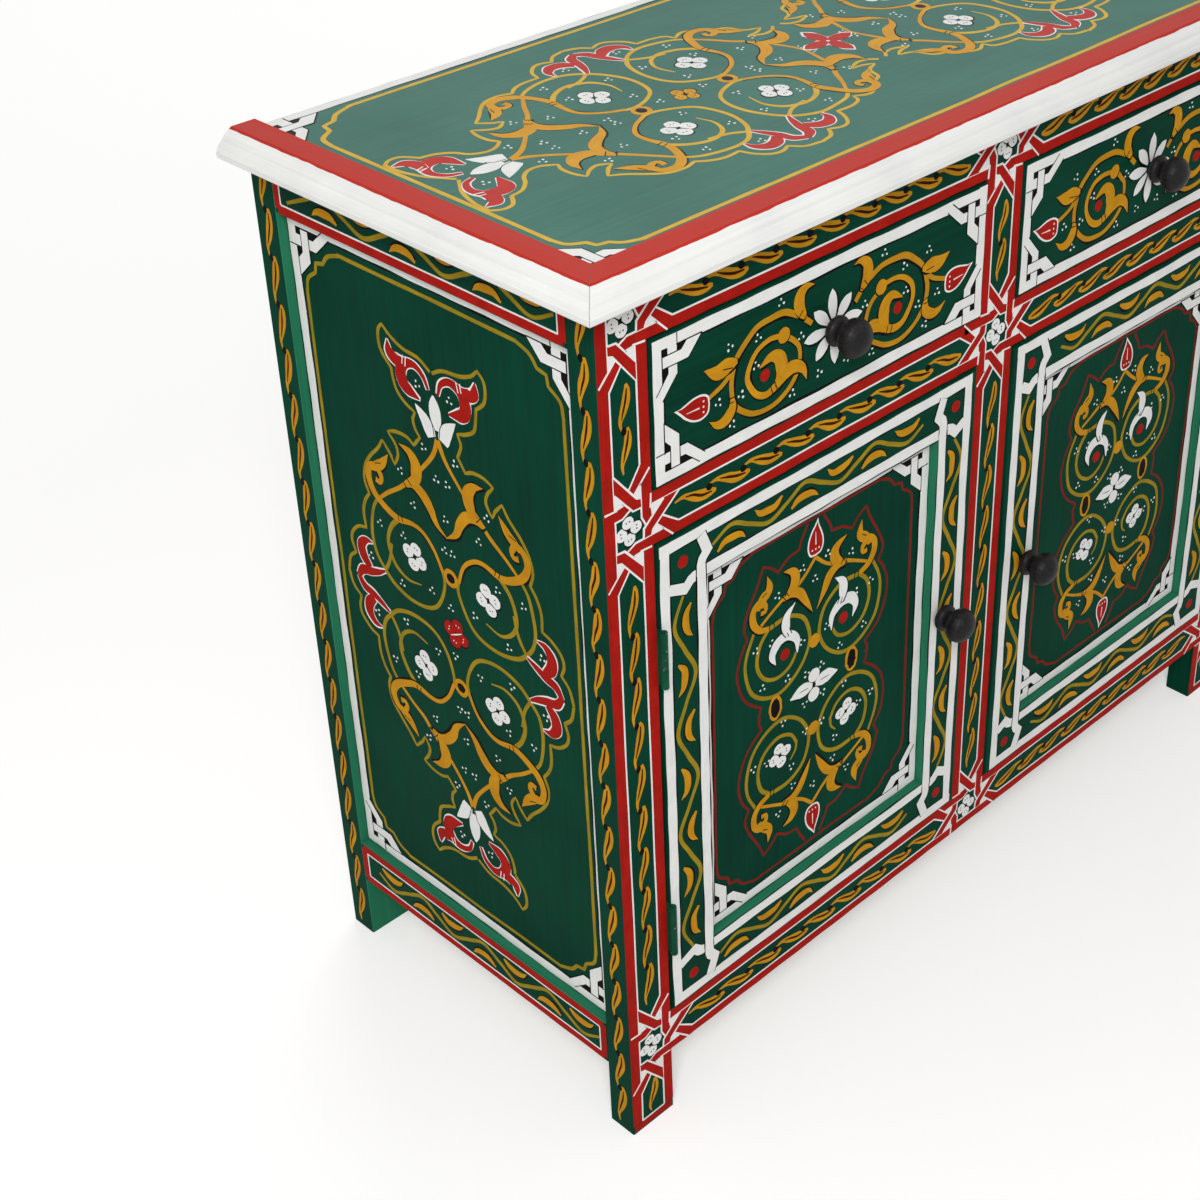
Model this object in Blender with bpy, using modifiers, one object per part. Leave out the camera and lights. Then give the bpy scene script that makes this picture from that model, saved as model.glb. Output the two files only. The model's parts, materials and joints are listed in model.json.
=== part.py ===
"""Painted dresser: two drawers over two doors in a framed and panelled carcass.

Metres, Z up, front towards -Y. The origin is on the floor, under the middle of the whole object.
Depths are counted from the face of the front frame towards the back, and insets from the outer
face of a side towards the middle, so that left and right pieces share one set of values.
"""

import math

import bmesh
import bpy
from mathutils import Matrix, Vector

# Carcass
WIDTH = 0.943
DEPTH = 0.410
HEIGHT = 0.858
LEG_CLEARANCE = 0.0715
POST_FACE = 0.050
POST_SIDE = 0.030
MULLION_FACE = 0.050
RAIL_THICK = 0.024
BOTTOM_RAIL = 0.048
MID_RAIL = 0.048
TOP_RAIL = 0.047
BACK_MID_RAIL = 0.070
BACK_MID_DROP = 0.030
DRAWER_OPENING = 0.1285
EASED_EDGE = 0.0008

# Joinery
CLEAR = 0.0003
TENON_THICK = 0.008
TENON_LENGTH = 0.018
TENON_SHOULDER = 0.009
GROOVE = 0.008
PANEL_RECESS = 0.009
SIDE_PANEL = 0.008
BACK_PANEL = 0.005
FLOOR_BOARD = 0.012
FLOOR_GROOVE = 0.006
FLOOR_DROP = 0.0145
SHELF = 0.016
SHELF_HEIGHT = 0.352
SHELF_HOUSING = 0.006

# Top board and its lipped edge moulding
TOP_BOARD = 0.018
TOP_SETBACK = 0.005
LIP_THICK = 0.004
LIP_FLAT = 0.0225
LIP_REBATE = 0.001
NOSE_OVERHANG = 0.0285
NOSE_ROUND = 0.0015
NOSE_FACE = 0.0062
BEVEL_WIDTH = 0.017
BEVEL_BULGE = 0.0007
QUIRK = 0.0007
QUIRK_SETBACK = 0.006
QUIRK_RISE = 0.0133
ARC_STEPS = 5

# Drawers
FRONT_THICK = 0.020
FRONT_PROUD = 0.0025
FRONT_GAP = 0.002
DRAWER_WALL = 0.012
DRAWER_SIDE = 0.105
DRAWER_PLAY = 0.001
DRAWER_HOUSING = 0.006
DRAWER_BOTTOM = 0.005
BOTTOM_GROOVE = 0.005
BOTTOM_RISE = 0.009
BACK_INSET = 0.014
BACK_HOUSING = 0.004
BACK_DROP = 0.010
STOP_GAP = 0.0006
RUNNER_LEDGE = 0.024
RUNNER_DEPTH = 0.020
RUNNER_GUIDE = 0.028

# Doors
DOOR_FRAME = 0.051
DOOR_PANEL = 0.006
DOOR_KNOB_INSET = 0.037

# Butt hinges
LEAF_THICK = 0.001
LEAF_WIDTH = 0.018
HINGE_LENGTH = 0.054
KNUCKLE_RADIUS = 0.0034
PIN_RADIUS = 0.0015
PIN_TIP = 0.0006
HINGE_TOP_DROP = 0.1045
HINGE_BOTTOM_RISE = 0.097
HINGE_SIDES = 20

# Turned knobs
KNOB_LENGTH = 0.038
KNOB_HEAD_RADIUS = 0.0166
KNOB_HEAD_DEPTH = 0.0255
KNOB_COLLAR_RADIUS = 0.0132
KNOB_COLLAR_DEPTH = 0.0145
KNOB_WAIST_ANGLE = math.radians(50)
DOWEL_RADIUS = 0.005
DOWEL_LENGTH = 0.014
KNOB_SIDES = 32
KNOB_STEPS = 12

# Levels and lines that follow from the sizes above
KNOB_REACH = FRONT_PROUD + KNOB_LENGTH
FRONT = (KNOB_REACH - DEPTH) / 2
BACK = FRONT + DEPTH
HALF_WIDTH = WIDTH / 2
MOULDING_HEIGHT = TOP_BOARD + CLEAR + LIP_THICK
LIP_COVER = LIP_FLAT + BEVEL_WIDTH - NOSE_OVERHANG
CARCASS_TOP = HEIGHT - MOULDING_HEIGHT - CLEAR
BOTTOM_RAIL_TOP = LEG_CLEARANCE + BOTTOM_RAIL
TOP_RAIL_UNDER = CARCASS_TOP - TOP_RAIL
DRAWER_FLOOR = TOP_RAIL_UNDER - DRAWER_OPENING
MID_RAIL_UNDER = DRAWER_FLOOR - MID_RAIL
BAY = (WIDTH - MULLION_FACE) / 2 - POST_FACE
BAY_END = POST_FACE + BAY
SIDE_PANEL_INNER = PANEL_RECESS + SIDE_PANEL
BACK_PANEL_INNER = PANEL_RECESS + BACK_PANEL
FACE = FRONT - FRONT_PROUD
FACE_BACK = FACE + FRONT_THICK
HINGE_GAP = 2 * LEAF_THICK + 3 * CLEAR
HINGE_INSET = POST_FACE + HINGE_GAP / 2
HINGE_Y = FACE - KNUCKLE_RADIUS - CLEAR
SIDES = {"left": -1, "right": 1}

X, Y, Z = range(3)


def srgb(red, green, blue):
    """Linear colour of an eight-bit display colour."""
    shares = [channel / 255 for channel in (red, green, blue)]
    return [((s + 0.055) / 1.055) ** 2.4 if s > 0.04045 else s / 12.92 for s in shares]


GREEN_PAINT = (srgb(16, 72, 50), 0.42, 0.0)
TOP_PAINT = (srgb(24, 84, 62), 0.35, 0.0)
WHITE_PAINT = (srgb(232, 232, 228), 0.38, 0.0)
BLACK_STAIN = (srgb(44, 42, 44), 0.50, 0.0)
BARE_PINE = (srgb(198, 164, 118), 0.65, 0.0)
PLYWOOD = (srgb(186, 150, 108), 0.70, 0.0)
HINGE_PAINT = (srgb(20, 84, 58), 0.40, 0.6)


def clear_scene():
    for item in list(bpy.data.objects):
        bpy.data.objects.remove(item, do_unlink=True)


def collection(name):
    group = bpy.data.collections.get(name) or bpy.data.collections.new(name)
    if group.name not in bpy.context.scene.collection.children:
        bpy.context.scene.collection.children.link(group)
    return group


clear_scene()
PARTS = collection("painted_dresser")
TOOLS = collection("cutters")


# Spans: a pair of low and high along one axis

def inset(side, start, end):
    """Span along X between two distances in from the outer face of a side."""
    ends = (side * (HALF_WIDTH - start), side * (HALF_WIDTH - end))
    return (min(ends), max(ends))


def deep(start, end):
    """Span along Y between two distances back from the front frame's face."""
    return (FRONT + start, FRONT + end)


def from_back(start, end):
    """Span along Y between two distances in from the back of the carcass."""
    return (BACK - end, BACK - start)


def shrunk(span, by):
    return (span[0] + by, span[1] - by)


def centred(span, width):
    middle = (span[0] + span[1]) / 2
    return (middle - width / 2, middle + width / 2)


def grown(spans, by=CLEAR):
    return [shrunk(span, -by) for span in spans]


# Pieces and the tools that cut or join them

def finish_of(name, finish):
    colour, roughness, metallic = finish
    material = bpy.data.materials.new(name)
    material.use_nodes = True
    shader = material.node_tree.nodes["Principled BSDF"]
    shader.inputs["Base Color"].default_value = (*colour, 1.0)
    shader.inputs["Roughness"].default_value = roughness
    shader.inputs["Metallic"].default_value = metallic
    return material


def piece_of(name, mesh, finish, origin, parent=None):
    """Make a sub-part of a mesh that is centred on its origin."""
    item = bpy.data.objects.new(name, mesh)
    mesh.materials.append(finish_of(name, finish))
    PARTS.objects.link(item)
    item.location = Vector(origin)
    if parent:
        item.parent = parent
        item.location -= parent.location
    return item


def tool_of(name, mesh, origin):
    item = bpy.data.objects.new(name, mesh)
    item.location = Vector(origin)
    item.hide_render = True
    item.display_type = "WIRE"
    TOOLS.objects.link(item)
    return item


def pivot(name, place):
    """Empty on the axis of a joint, which carries the pieces that move there."""
    item = bpy.data.objects.new(name, None)
    item.location = Vector(place)
    PARTS.objects.link(item)
    return item


def block_mesh(name, spans, along=None):
    """Box about its own centre. Its edges along one axis can be eased."""
    size = Vector([high - low for low, high in spans])
    solid = bmesh.new()
    bmesh.ops.create_cube(solid, size=1.0)
    bmesh.ops.scale(solid, vec=size, verts=solid.verts)
    if along is not None:
        half = size[along] / 2
        long_edges = [e for e in solid.edges if abs(e.verts[0].co[along] - e.verts[1].co[along]) > half]
        bmesh.ops.bevel(solid, geom=long_edges, offset=EASED_EDGE, segments=1, affect="EDGES")
    mesh = bpy.data.meshes.new(name)
    solid.to_mesh(mesh)
    solid.free()
    return mesh


def middle_of(spans):
    return [(low + high) / 2 for low, high in spans]


def block(name, spans, finish, along=None, parent=None):
    return piece_of(name, block_mesh(name, spans, along), finish, middle_of(spans), parent)


def block_tool(name, spans):
    return tool_of(name, block_mesh(name, spans), middle_of(spans))


def round_tool(name, radius, length, place, axis, sides):
    """Cylinder about its centre, along Z or Y."""
    solid = bmesh.new()
    bmesh.ops.create_cone(
        solid, cap_ends=True, segments=sides, radius1=radius, radius2=radius, depth=length)
    if axis == Y:
        bmesh.ops.rotate(solid, verts=solid.verts, matrix=Matrix.Rotation(math.pi / 2, 3, "X"))
    mesh = bpy.data.meshes.new(name)
    solid.to_mesh(mesh)
    solid.free()
    return tool_of(name, mesh, place)


def combine(piece, tool, operation):
    change = piece.modifiers.new(tool.name, "BOOLEAN")
    change.operation = operation
    change.solver = "EXACT"
    change.object = tool


def carve(tool, *pieces):
    for piece in pieces:
        combine(piece, tool, "DIFFERENCE")


def fuse(piece, *tools):
    for tool in tools:
        combine(piece, tool, "UNION")


def tenoned(name, spans, along, finish, parent=None):
    """Bar with a tenon at each end, and the tool that cuts both mortises for it."""
    bar = block(name, spans, finish, along, parent)
    tenon = list(spans)
    tenon[along] = shrunk(spans[along], -TENON_LENGTH)
    across = [axis for axis in (X, Y, Z) if axis != along]
    thin = min(across, key=lambda axis: spans[axis][1] - spans[axis][0])
    for axis in across:
        if axis == thin:
            tenon[axis] = centred(spans[axis], TENON_THICK)
        else:
            tenon[axis] = shrunk(spans[axis], TENON_SHOULDER)
    fuse(bar, block_tool(name + "_tenons", tenon))
    return bar, block_tool(name + "_mortises", grown(tenon))


# Carcass frame

def make_posts():
    posts = {}
    for hand, side in SIDES.items():
        for end, span in (("front", deep(0, POST_SIDE)), ("back", from_back(0, POST_SIDE))):
            spans = [inset(side, 0, POST_FACE), span, (0, CARCASS_TOP)]
            posts[end, hand] = block(f"post_{end}_{hand}", spans, GREEN_PAINT, Z)
    return posts


def across_rail(name, depth_span, height_span, posts, end):
    """Rail between two posts of the front or the back."""
    between = (-HALF_WIDTH + POST_FACE + CLEAR, HALF_WIDTH - POST_FACE - CLEAR)
    rail, mortises = tenoned(name, [between, depth_span, height_span], X, GREEN_PAINT)
    carve(mortises, posts[end, "left"], posts[end, "right"])
    return rail


def make_front_frame(posts):
    thick = deep(0, RAIL_THICK)
    top = across_rail("rail_front_top", thick, (TOP_RAIL_UNDER, CARCASS_TOP), posts, "front")
    bottom = across_rail("rail_front_bottom", thick, (LEG_CLEARANCE, BOTTOM_RAIL_TOP), posts, "front")
    upright = shrunk((BOTTOM_RAIL_TOP, TOP_RAIL_UNDER), CLEAR)
    face = (-MULLION_FACE / 2, MULLION_FACE / 2)
    mullion, mortises = tenoned("mullion", [face, thick, upright], Z, GREEN_PAINT)
    carve(mortises, top, bottom)
    for hand, side in SIDES.items():
        spans = [inset(side, POST_FACE + CLEAR, BAY_END - CLEAR), thick, (MID_RAIL_UNDER, DRAWER_FLOOR)]
        rail, mortises = tenoned(f"rail_front_mid_{hand}", spans, X, GREEN_PAINT)
        carve(mortises, posts["front", hand], mullion)
    return bottom


def make_side_frames(posts):
    """Top and bottom rail of each side, with the panel that floats in their grooves."""
    bottoms = []
    between = shrunk((FRONT + POST_SIDE, BACK - POST_SIDE), CLEAR)
    for hand, side in SIDES.items():
        ends = (posts["front", hand], posts["back", hand])
        thick = inset(side, 0, RAIL_THICK)
        rails = []
        for level, height in (("top", (TOP_RAIL_UNDER, CARCASS_TOP)),
                              ("bottom", (LEG_CLEARANCE, BOTTOM_RAIL_TOP))):
            rail, mortises = tenoned(f"rail_side_{level}_{hand}", [thick, between, height], Y, GREEN_PAINT)
            carve(mortises, *ends)
            rails.append(rail)
        tongue = GROOVE - CLEAR
        spans = [inset(side, PANEL_RECESS, SIDE_PANEL_INNER),
                 shrunk((FRONT + POST_SIDE, BACK - POST_SIDE), -tongue),
                 shrunk((BOTTOM_RAIL_TOP, TOP_RAIL_UNDER), -tongue)]
        block(f"side_panel_{hand}", spans, GREEN_PAINT)
        carve(block_tool(f"side_grooves_{hand}", grown(spans)), *ends, *rails)
        bottoms.append(rails[1])
    return bottoms


def make_back_frame(posts):
    thick = from_back(0, RAIL_THICK)
    top = across_rail("rail_back_top", thick, (TOP_RAIL_UNDER, CARCASS_TOP), posts, "back")
    bottom = across_rail("rail_back_bottom", thick, (LEG_CLEARANCE, BOTTOM_RAIL_TOP), posts, "back")
    mid_low = DRAWER_FLOOR - BACK_MID_DROP
    mid_thick = from_back(BACK_PANEL_INNER + CLEAR, POST_SIDE)
    across_rail("rail_back_mid", mid_thick, (mid_low, mid_low + BACK_MID_RAIL), posts, "back")
    tongue = GROOVE - CLEAR
    spans = [shrunk((-HALF_WIDTH + POST_FACE, HALF_WIDTH - POST_FACE), -tongue),
             from_back(PANEL_RECESS, BACK_PANEL_INNER),
             shrunk((BOTTOM_RAIL_TOP, TOP_RAIL_UNDER), -tongue)]
    block("back_panel", spans, PLYWOOD)
    grooves = block_tool("back_grooves", grown(spans))
    carve(grooves, posts["back", "left"], posts["back", "right"], top, bottom)
    return bottom


def make_boards(posts, bottom_rails):
    """Floor of the cupboard in the grooves of the bottom rails, and the shelf let into the posts."""
    tongue = RAIL_THICK - FLOOR_GROOVE + CLEAR
    floor_top = BOTTOM_RAIL_TOP - FLOOR_DROP
    spans = [(-HALF_WIDTH + tongue, HALF_WIDTH - tongue), (FRONT + tongue, BACK - tongue),
             (floor_top - FLOOR_BOARD, floor_top)]
    floor = block("floor_board", spans, BARE_PINE)
    carve(block_tool("floor_grooves", grown(spans)), *bottom_rails)
    for hand, side in SIDES.items():
        for end, span in (("front", deep(-CLEAR, POST_SIDE)), ("back", from_back(-CLEAR, POST_SIDE))):
            corner = [inset(side, 0, POST_FACE), span, (0, CARCASS_TOP)]
            carve(block_tool(f"floor_notch_{end}_{hand}", grown(corner)), floor)
    beside = SIDE_PANEL_INNER + CLEAR
    spans = [(-HALF_WIDTH + beside, HALF_WIDTH - beside),
             (FRONT + RAIL_THICK + CLEAR, BACK - POST_SIDE + SHELF_HOUSING),
             (SHELF_HEIGHT, SHELF_HEIGHT + SHELF)]
    block("shelf", spans, BARE_PINE)
    carve(block_tool("shelf_housings", grown(spans)), *posts.values())


# Top board with a lipped moulding round three sides

def shallow_arc(start, end, bulge):
    """Points of a shallow arc that swells to the right of the way from start to end."""
    start, end = Vector(start), Vector(end)
    way = end - start
    normal = Vector((way.y, -way.x)).normalized()
    points = []
    for step in range(ARC_STEPS + 1):
        share = step / ARC_STEPS
        points.append(start + way * share + normal * (4 * bulge * share * (1 - share)))
    return points


def moulding_outline():
    """Section of the moulding: X is out from the board's edge, Y is up from its underside."""
    flat_edge = Vector((NOSE_OVERHANG - BEVEL_WIDTH, MOULDING_HEIGHT))
    nose = Vector((NOSE_OVERHANG - QUIRK, NOSE_FACE))
    middle = Vector((NOSE_OVERHANG - QUIRK_SETBACK, QUIRK_RISE))
    normal = Vector((nose.y - flat_edge.y, flat_edge.x - nose.x)).normalized()
    lip_under = MOULDING_HEIGHT - LIP_THICK - LIP_REBATE
    lip_inner = -LIP_COVER
    outline = [Vector((CLEAR, 0)), Vector((NOSE_OVERHANG - NOSE_ROUND, 0))]
    for step in range(1, ARC_STEPS + 1):
        angle = math.pi / 2 * step / ARC_STEPS
        outline.append(Vector((NOSE_OVERHANG - NOSE_ROUND * (1 - math.sin(angle)),
                               NOSE_ROUND * (1 - math.cos(angle)))))
    outline.append(Vector((NOSE_OVERHANG, NOSE_FACE - QUIRK)))
    outline += shallow_arc(nose, middle, BEVEL_BULGE)
    outline.append(middle + normal * QUIRK)
    outline += shallow_arc(middle, flat_edge, BEVEL_BULGE)[1:]
    outline += [Vector((lip_inner, MOULDING_HEIGHT)), Vector((lip_inner, lip_under)),
                Vector((CLEAR, lip_under))]
    return outline


def moulding_bar(name, length):
    """Length of moulding as a mesh, its section in XY and its length centred on Z."""
    curve = bpy.data.curves.new(name, "CURVE")
    curve.dimensions = "2D"
    curve.fill_mode = "BOTH"
    curve.extrude = length / 2
    outline = moulding_outline()
    spline = curve.splines.new("POLY")
    spline.points.add(len(outline) - 1)
    for point, place in zip(spline.points, outline):
        point.co = (place.x, place.y, 0, 1)
    spline.use_cyclic_u = True
    guide = bpy.data.objects.new(name + "_section", curve)
    TOOLS.objects.link(guide)
    bpy.context.view_layer.update()
    graph = bpy.context.evaluated_depsgraph_get()
    mesh = bpy.data.meshes.new_from_object(guide.evaluated_get(graph))
    bpy.data.objects.remove(guide, do_unlink=True)
    return mesh


def mitre(solid, corner, normal):
    """Cut a moulding at the plane of its corner and close the cut."""
    normal = Vector(normal).normalized()
    everything = solid.verts[:] + solid.edges[:] + solid.faces[:]
    cut = bmesh.ops.bisect_plane(
        solid, geom=everything, plane_co=Vector(corner) - normal * CLEAR / 2, plane_no=normal,
        clear_outer=True, dist=CLEAR / 100)
    edges = [item for item in cut["geom_cut"] if isinstance(item, bmesh.types.BMEdge)]
    bmesh.ops.contextual_create(solid, geom=edges)


def make_moulding(name, outward, start, end, mitres):
    """Moulding from start to end, which faces outward, cut at each corner in mitres."""
    start, end = Vector(start), Vector(end)
    out, up = Vector(outward), Vector((0, 0, 1))
    turn = Matrix((out, up, out.cross(up))).transposed()
    middle = (start + end) / 2
    mesh = moulding_bar(name, (end - start).length)
    solid = bmesh.new()
    solid.from_mesh(mesh)
    bmesh.ops.remove_doubles(solid, verts=solid.verts, dist=CLEAR / 100)
    bmesh.ops.rotate(solid, verts=solid.verts, matrix=turn)
    for corner, normal in mitres:
        mitre(solid, Vector(corner) - middle, normal)
    bmesh.ops.recalc_face_normals(solid, faces=solid.faces)
    solid.to_mesh(mesh)
    solid.free()
    mesh.name = name
    piece_of(name, mesh, WHITE_PAINT, middle)


def make_top():
    under = CARCASS_TOP + CLEAR
    over = under + TOP_BOARD
    spans = [(-HALF_WIDTH, HALF_WIDTH), (FRONT, BACK - TOP_SETBACK), (under, over)]
    board = block("top_board", spans, TOP_PAINT)
    seat = (over - LIP_REBATE, over + CLEAR)
    rebates = {"front": [(-WIDTH, WIDTH), deep(-DEPTH, LIP_COVER + CLEAR), seat]}
    for hand, side in SIDES.items():
        rebates[hand] = [inset(side, -WIDTH, LIP_COVER + CLEAR), deep(LIP_COVER, 2 * DEPTH), seat]
    for place, cut in rebates.items():
        carve(block_tool(f"top_board_rebate_{place}", cut), board)
    corners = {hand: Vector((side * HALF_WIDTH, FRONT, under)) for hand, side in SIDES.items()}
    reach = Vector((NOSE_OVERHANG, 0, 0))
    make_moulding("top_moulding_front", (0, -1, 0), corners["left"] - reach, corners["right"] + reach,
                  [(corners[hand], (side, 1, 0)) for hand, side in SIDES.items()])
    for hand, side in SIDES.items():
        start = corners[hand] - Vector((0, NOSE_OVERHANG, 0))
        end = Vector((corners[hand].x, BACK, under))
        make_moulding(f"top_moulding_{hand}", (side, 0, 0), start, end, [(corners[hand], (-side, -1, 0))])


# Turned knobs with a dowel that goes into a blind hole

def knob_profile():
    """Radius and height above the face, from the tip down the outer side to the dowel's end."""
    head_middle = KNOB_LENGTH - KNOB_HEAD_DEPTH / 2
    collar_middle = KNOB_COLLAR_DEPTH / 2
    points = []
    for step in range(KNOB_STEPS + 1):
        angle = math.pi / 2 - (math.pi / 2 + KNOB_WAIST_ANGLE) * step / KNOB_STEPS
        points.append((KNOB_HEAD_RADIUS * math.cos(angle),
                       head_middle + KNOB_HEAD_DEPTH / 2 * math.sin(angle)))
    for step in range(KNOB_STEPS):
        angle = KNOB_WAIST_ANGLE - (math.pi / 2 + KNOB_WAIST_ANGLE) * step / KNOB_STEPS
        points.append((KNOB_COLLAR_RADIUS * math.cos(angle),
                       CLEAR + collar_middle + collar_middle * math.sin(angle)))
    points += [(DOWEL_RADIUS, CLEAR), (DOWEL_RADIUS, -DOWEL_LENGTH), (0, -DOWEL_LENGTH)]
    points[0] = (0, KNOB_LENGTH)
    return points


def make_knob(name, place, carrier, parent):
    """Knob on a face that looks to -Y, and its hole in the piece that carries it."""
    mesh = bpy.data.meshes.new(name)
    profile = bmesh.new()
    line = [profile.verts.new((radius, 0, height)) for radius, height in knob_profile()]
    for first, second in zip(line, line[1:]):
        profile.edges.new((first, second))
    profile.to_mesh(mesh)
    profile.free()
    knob = piece_of(name, mesh, BLACK_STAIN, place, parent)
    knob.rotation_euler = (math.pi / 2, 0, 0)
    turn = knob.modifiers.new("turned", "SCREW")
    turn.axis = "Z"
    turn.steps = KNOB_SIDES
    turn.render_steps = KNOB_SIDES
    turn.use_merge_vertices = True
    turn.merge_threshold = 0.00001
    turn.use_smooth_shade = True
    depth = DOWEL_LENGTH + CLEAR
    carve(round_tool(name + "_hole", DOWEL_RADIUS + CLEAR, 2 * depth, place, Y, KNOB_SIDES), carrier)


# Drawers and what they run on

def make_runners():
    """Ledges under the drawers, level with the middle rails, with guides beside the drawers."""
    ledge = (DRAWER_FLOOR - RUNNER_DEPTH, DRAWER_FLOOR + RUNNER_GUIDE)
    above = (DRAWER_FLOOR, DRAWER_FLOOR + 2 * RUNNER_GUIDE)
    length = shrunk((FRONT + POST_SIDE, BACK - POST_SIDE), CLEAR)
    over = shrunk(length, -RUNNER_LEDGE)
    for hand, side in SIDES.items():
        spans = [inset(side, SIDE_PANEL_INNER + CLEAR, POST_FACE + RUNNER_LEDGE), length, ledge]
        runner = block(f"runner_{hand}", spans, BARE_PINE)
        drawer_side = [inset(side, POST_FACE, POST_FACE + 2 * RUNNER_LEDGE), over, above]
        carve(block_tool(f"runner_{hand}_step", drawer_side), runner)
    half = MULLION_FACE / 2
    length = (FRONT + RAIL_THICK + CLEAR, BACK - POST_SIDE - CLEAR)
    centre = block("runner_centre", [(-half - RUNNER_LEDGE, half + RUNNER_LEDGE), length, ledge], BARE_PINE)
    for hand, side in SIDES.items():
        drawer_side = [inset(side, BAY_END - 2 * RUNNER_LEDGE, BAY_END), over, above]
        carve(block_tool(f"runner_centre_step_{hand}", drawer_side), centre)


def make_drawer(hand, side):
    name = f"drawer_{hand}"
    middle_x = sum(inset(side, POST_FACE, BAY_END)) / 2
    middle_z = (DRAWER_FLOOR + TOP_RAIL_UNDER) / 2
    slide = pivot(name + "_slide", (middle_x, FACE, middle_z))
    spans = [inset(side, POST_FACE + FRONT_GAP, BAY_END - FRONT_GAP), (FACE, FACE_BACK),
             (DRAWER_FLOOR + FRONT_GAP, TOP_RAIL_UNDER - FRONT_GAP)]
    front = block(name + "_front", spans, GREEN_PAINT, X, slide)
    far_end = BACK - POST_SIDE - STOP_GAP
    run = (FACE_BACK - DRAWER_HOUSING, far_end)
    height = (DRAWER_FLOOR + CLEAR, DRAWER_FLOOR + DRAWER_SIDE)
    outer, inner = POST_FACE + DRAWER_PLAY, BAY_END - DRAWER_PLAY
    walls = []
    for place, start, end in (("outer", outer, outer + DRAWER_WALL), ("inner", inner - DRAWER_WALL, inner)):
        spans = [inset(side, start, end), run, height]
        walls.append(block(f"{name}_side_{place}", spans, BARE_PINE, parent=slide))
        carve(block_tool(f"{name}_housing_{place}", grown(spans)), front)
    inside = (outer + DRAWER_WALL, inner - DRAWER_WALL)
    tongue = BOTTOM_GROOVE - CLEAR
    low = DRAWER_FLOOR + BOTTOM_RISE
    spans = [inset(side, inside[0] - tongue, inside[1] + tongue), (run[0], far_end - CLEAR),
             (low, low + DRAWER_BOTTOM)]
    block(name + "_bottom", spans, PLYWOOD, parent=slide)
    carve(block_tool(name + "_bottom_grooves", grown(spans)), front, *walls)
    tongue = BACK_HOUSING - CLEAR
    back_end = far_end - BACK_INSET
    spans = [inset(side, inside[0] - tongue, inside[1] + tongue), (back_end - DRAWER_WALL, back_end),
             (low + DRAWER_BOTTOM + CLEAR, height[1] - BACK_DROP)]
    block(name + "_back", spans, BARE_PINE, parent=slide)
    carve(block_tool(name + "_back_housings", grown(spans)), *walls)
    make_knob(name + "_knob", (middle_x, FACE, middle_z), front, slide)


# Framed and panelled doors on butt hinges

def make_door(hand, side):
    name = f"door_{hand}"
    hinge_edge, lock_edge = POST_FACE + HINGE_GAP, BAY_END - FRONT_GAP
    height = shrunk((BOTTOM_RAIL_TOP, MID_RAIL_UNDER), FRONT_GAP)
    thick = (FACE, FACE_BACK)
    axis_x = side * (HALF_WIDTH - HINGE_INSET)
    swing = pivot(name + "_swing", (axis_x, HINGE_Y, height[0]))
    opening = (hinge_edge + DOOR_FRAME, lock_edge - DOOR_FRAME)
    spans = [inset(side, hinge_edge, opening[0]), thick, height]
    hinge_stile = block(name + "_stile_hinge", spans, GREEN_PAINT, Z, swing)
    spans = [inset(side, opening[1], lock_edge), thick, height]
    lock_stile = block(name + "_stile_lock", spans, GREEN_PAINT, Z, swing)
    members = [hinge_stile, lock_stile]
    for level, span in (("top", (height[1] - DOOR_FRAME, height[1])),
                        ("bottom", (height[0], height[0] + DOOR_FRAME))):
        spans = [inset(side, opening[0] + CLEAR, opening[1] - CLEAR), thick, span]
        rail, mortises = tenoned(f"{name}_rail_{level}", spans, X, GREEN_PAINT, swing)
        carve(mortises, hinge_stile, lock_stile)
        members.append(rail)
    tongue = GROOVE - CLEAR
    spans = [inset(side, opening[0] - tongue, opening[1] + tongue),
             (FACE + PANEL_RECESS, FACE + PANEL_RECESS + DOOR_PANEL),
             shrunk(height, DOOR_FRAME - tongue)]
    block(name + "_panel", spans, GREEN_PAINT, parent=swing)
    carve(block_tool(name + "_grooves", grown(spans)), *members)
    knob_x = side * (HALF_WIDTH - lock_edge + DOOR_KNOB_INSET)
    make_knob(name + "_knob", (knob_x, FACE, sum(height) / 2), lock_stile, swing)
    for level, middle in (("top", height[1] - HINGE_TOP_DROP), ("bottom", height[0] + HINGE_BOTTOM_RISE)):
        make_hinge(f"hinge_{hand}_{level}", side, axis_x, middle, swing)


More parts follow.
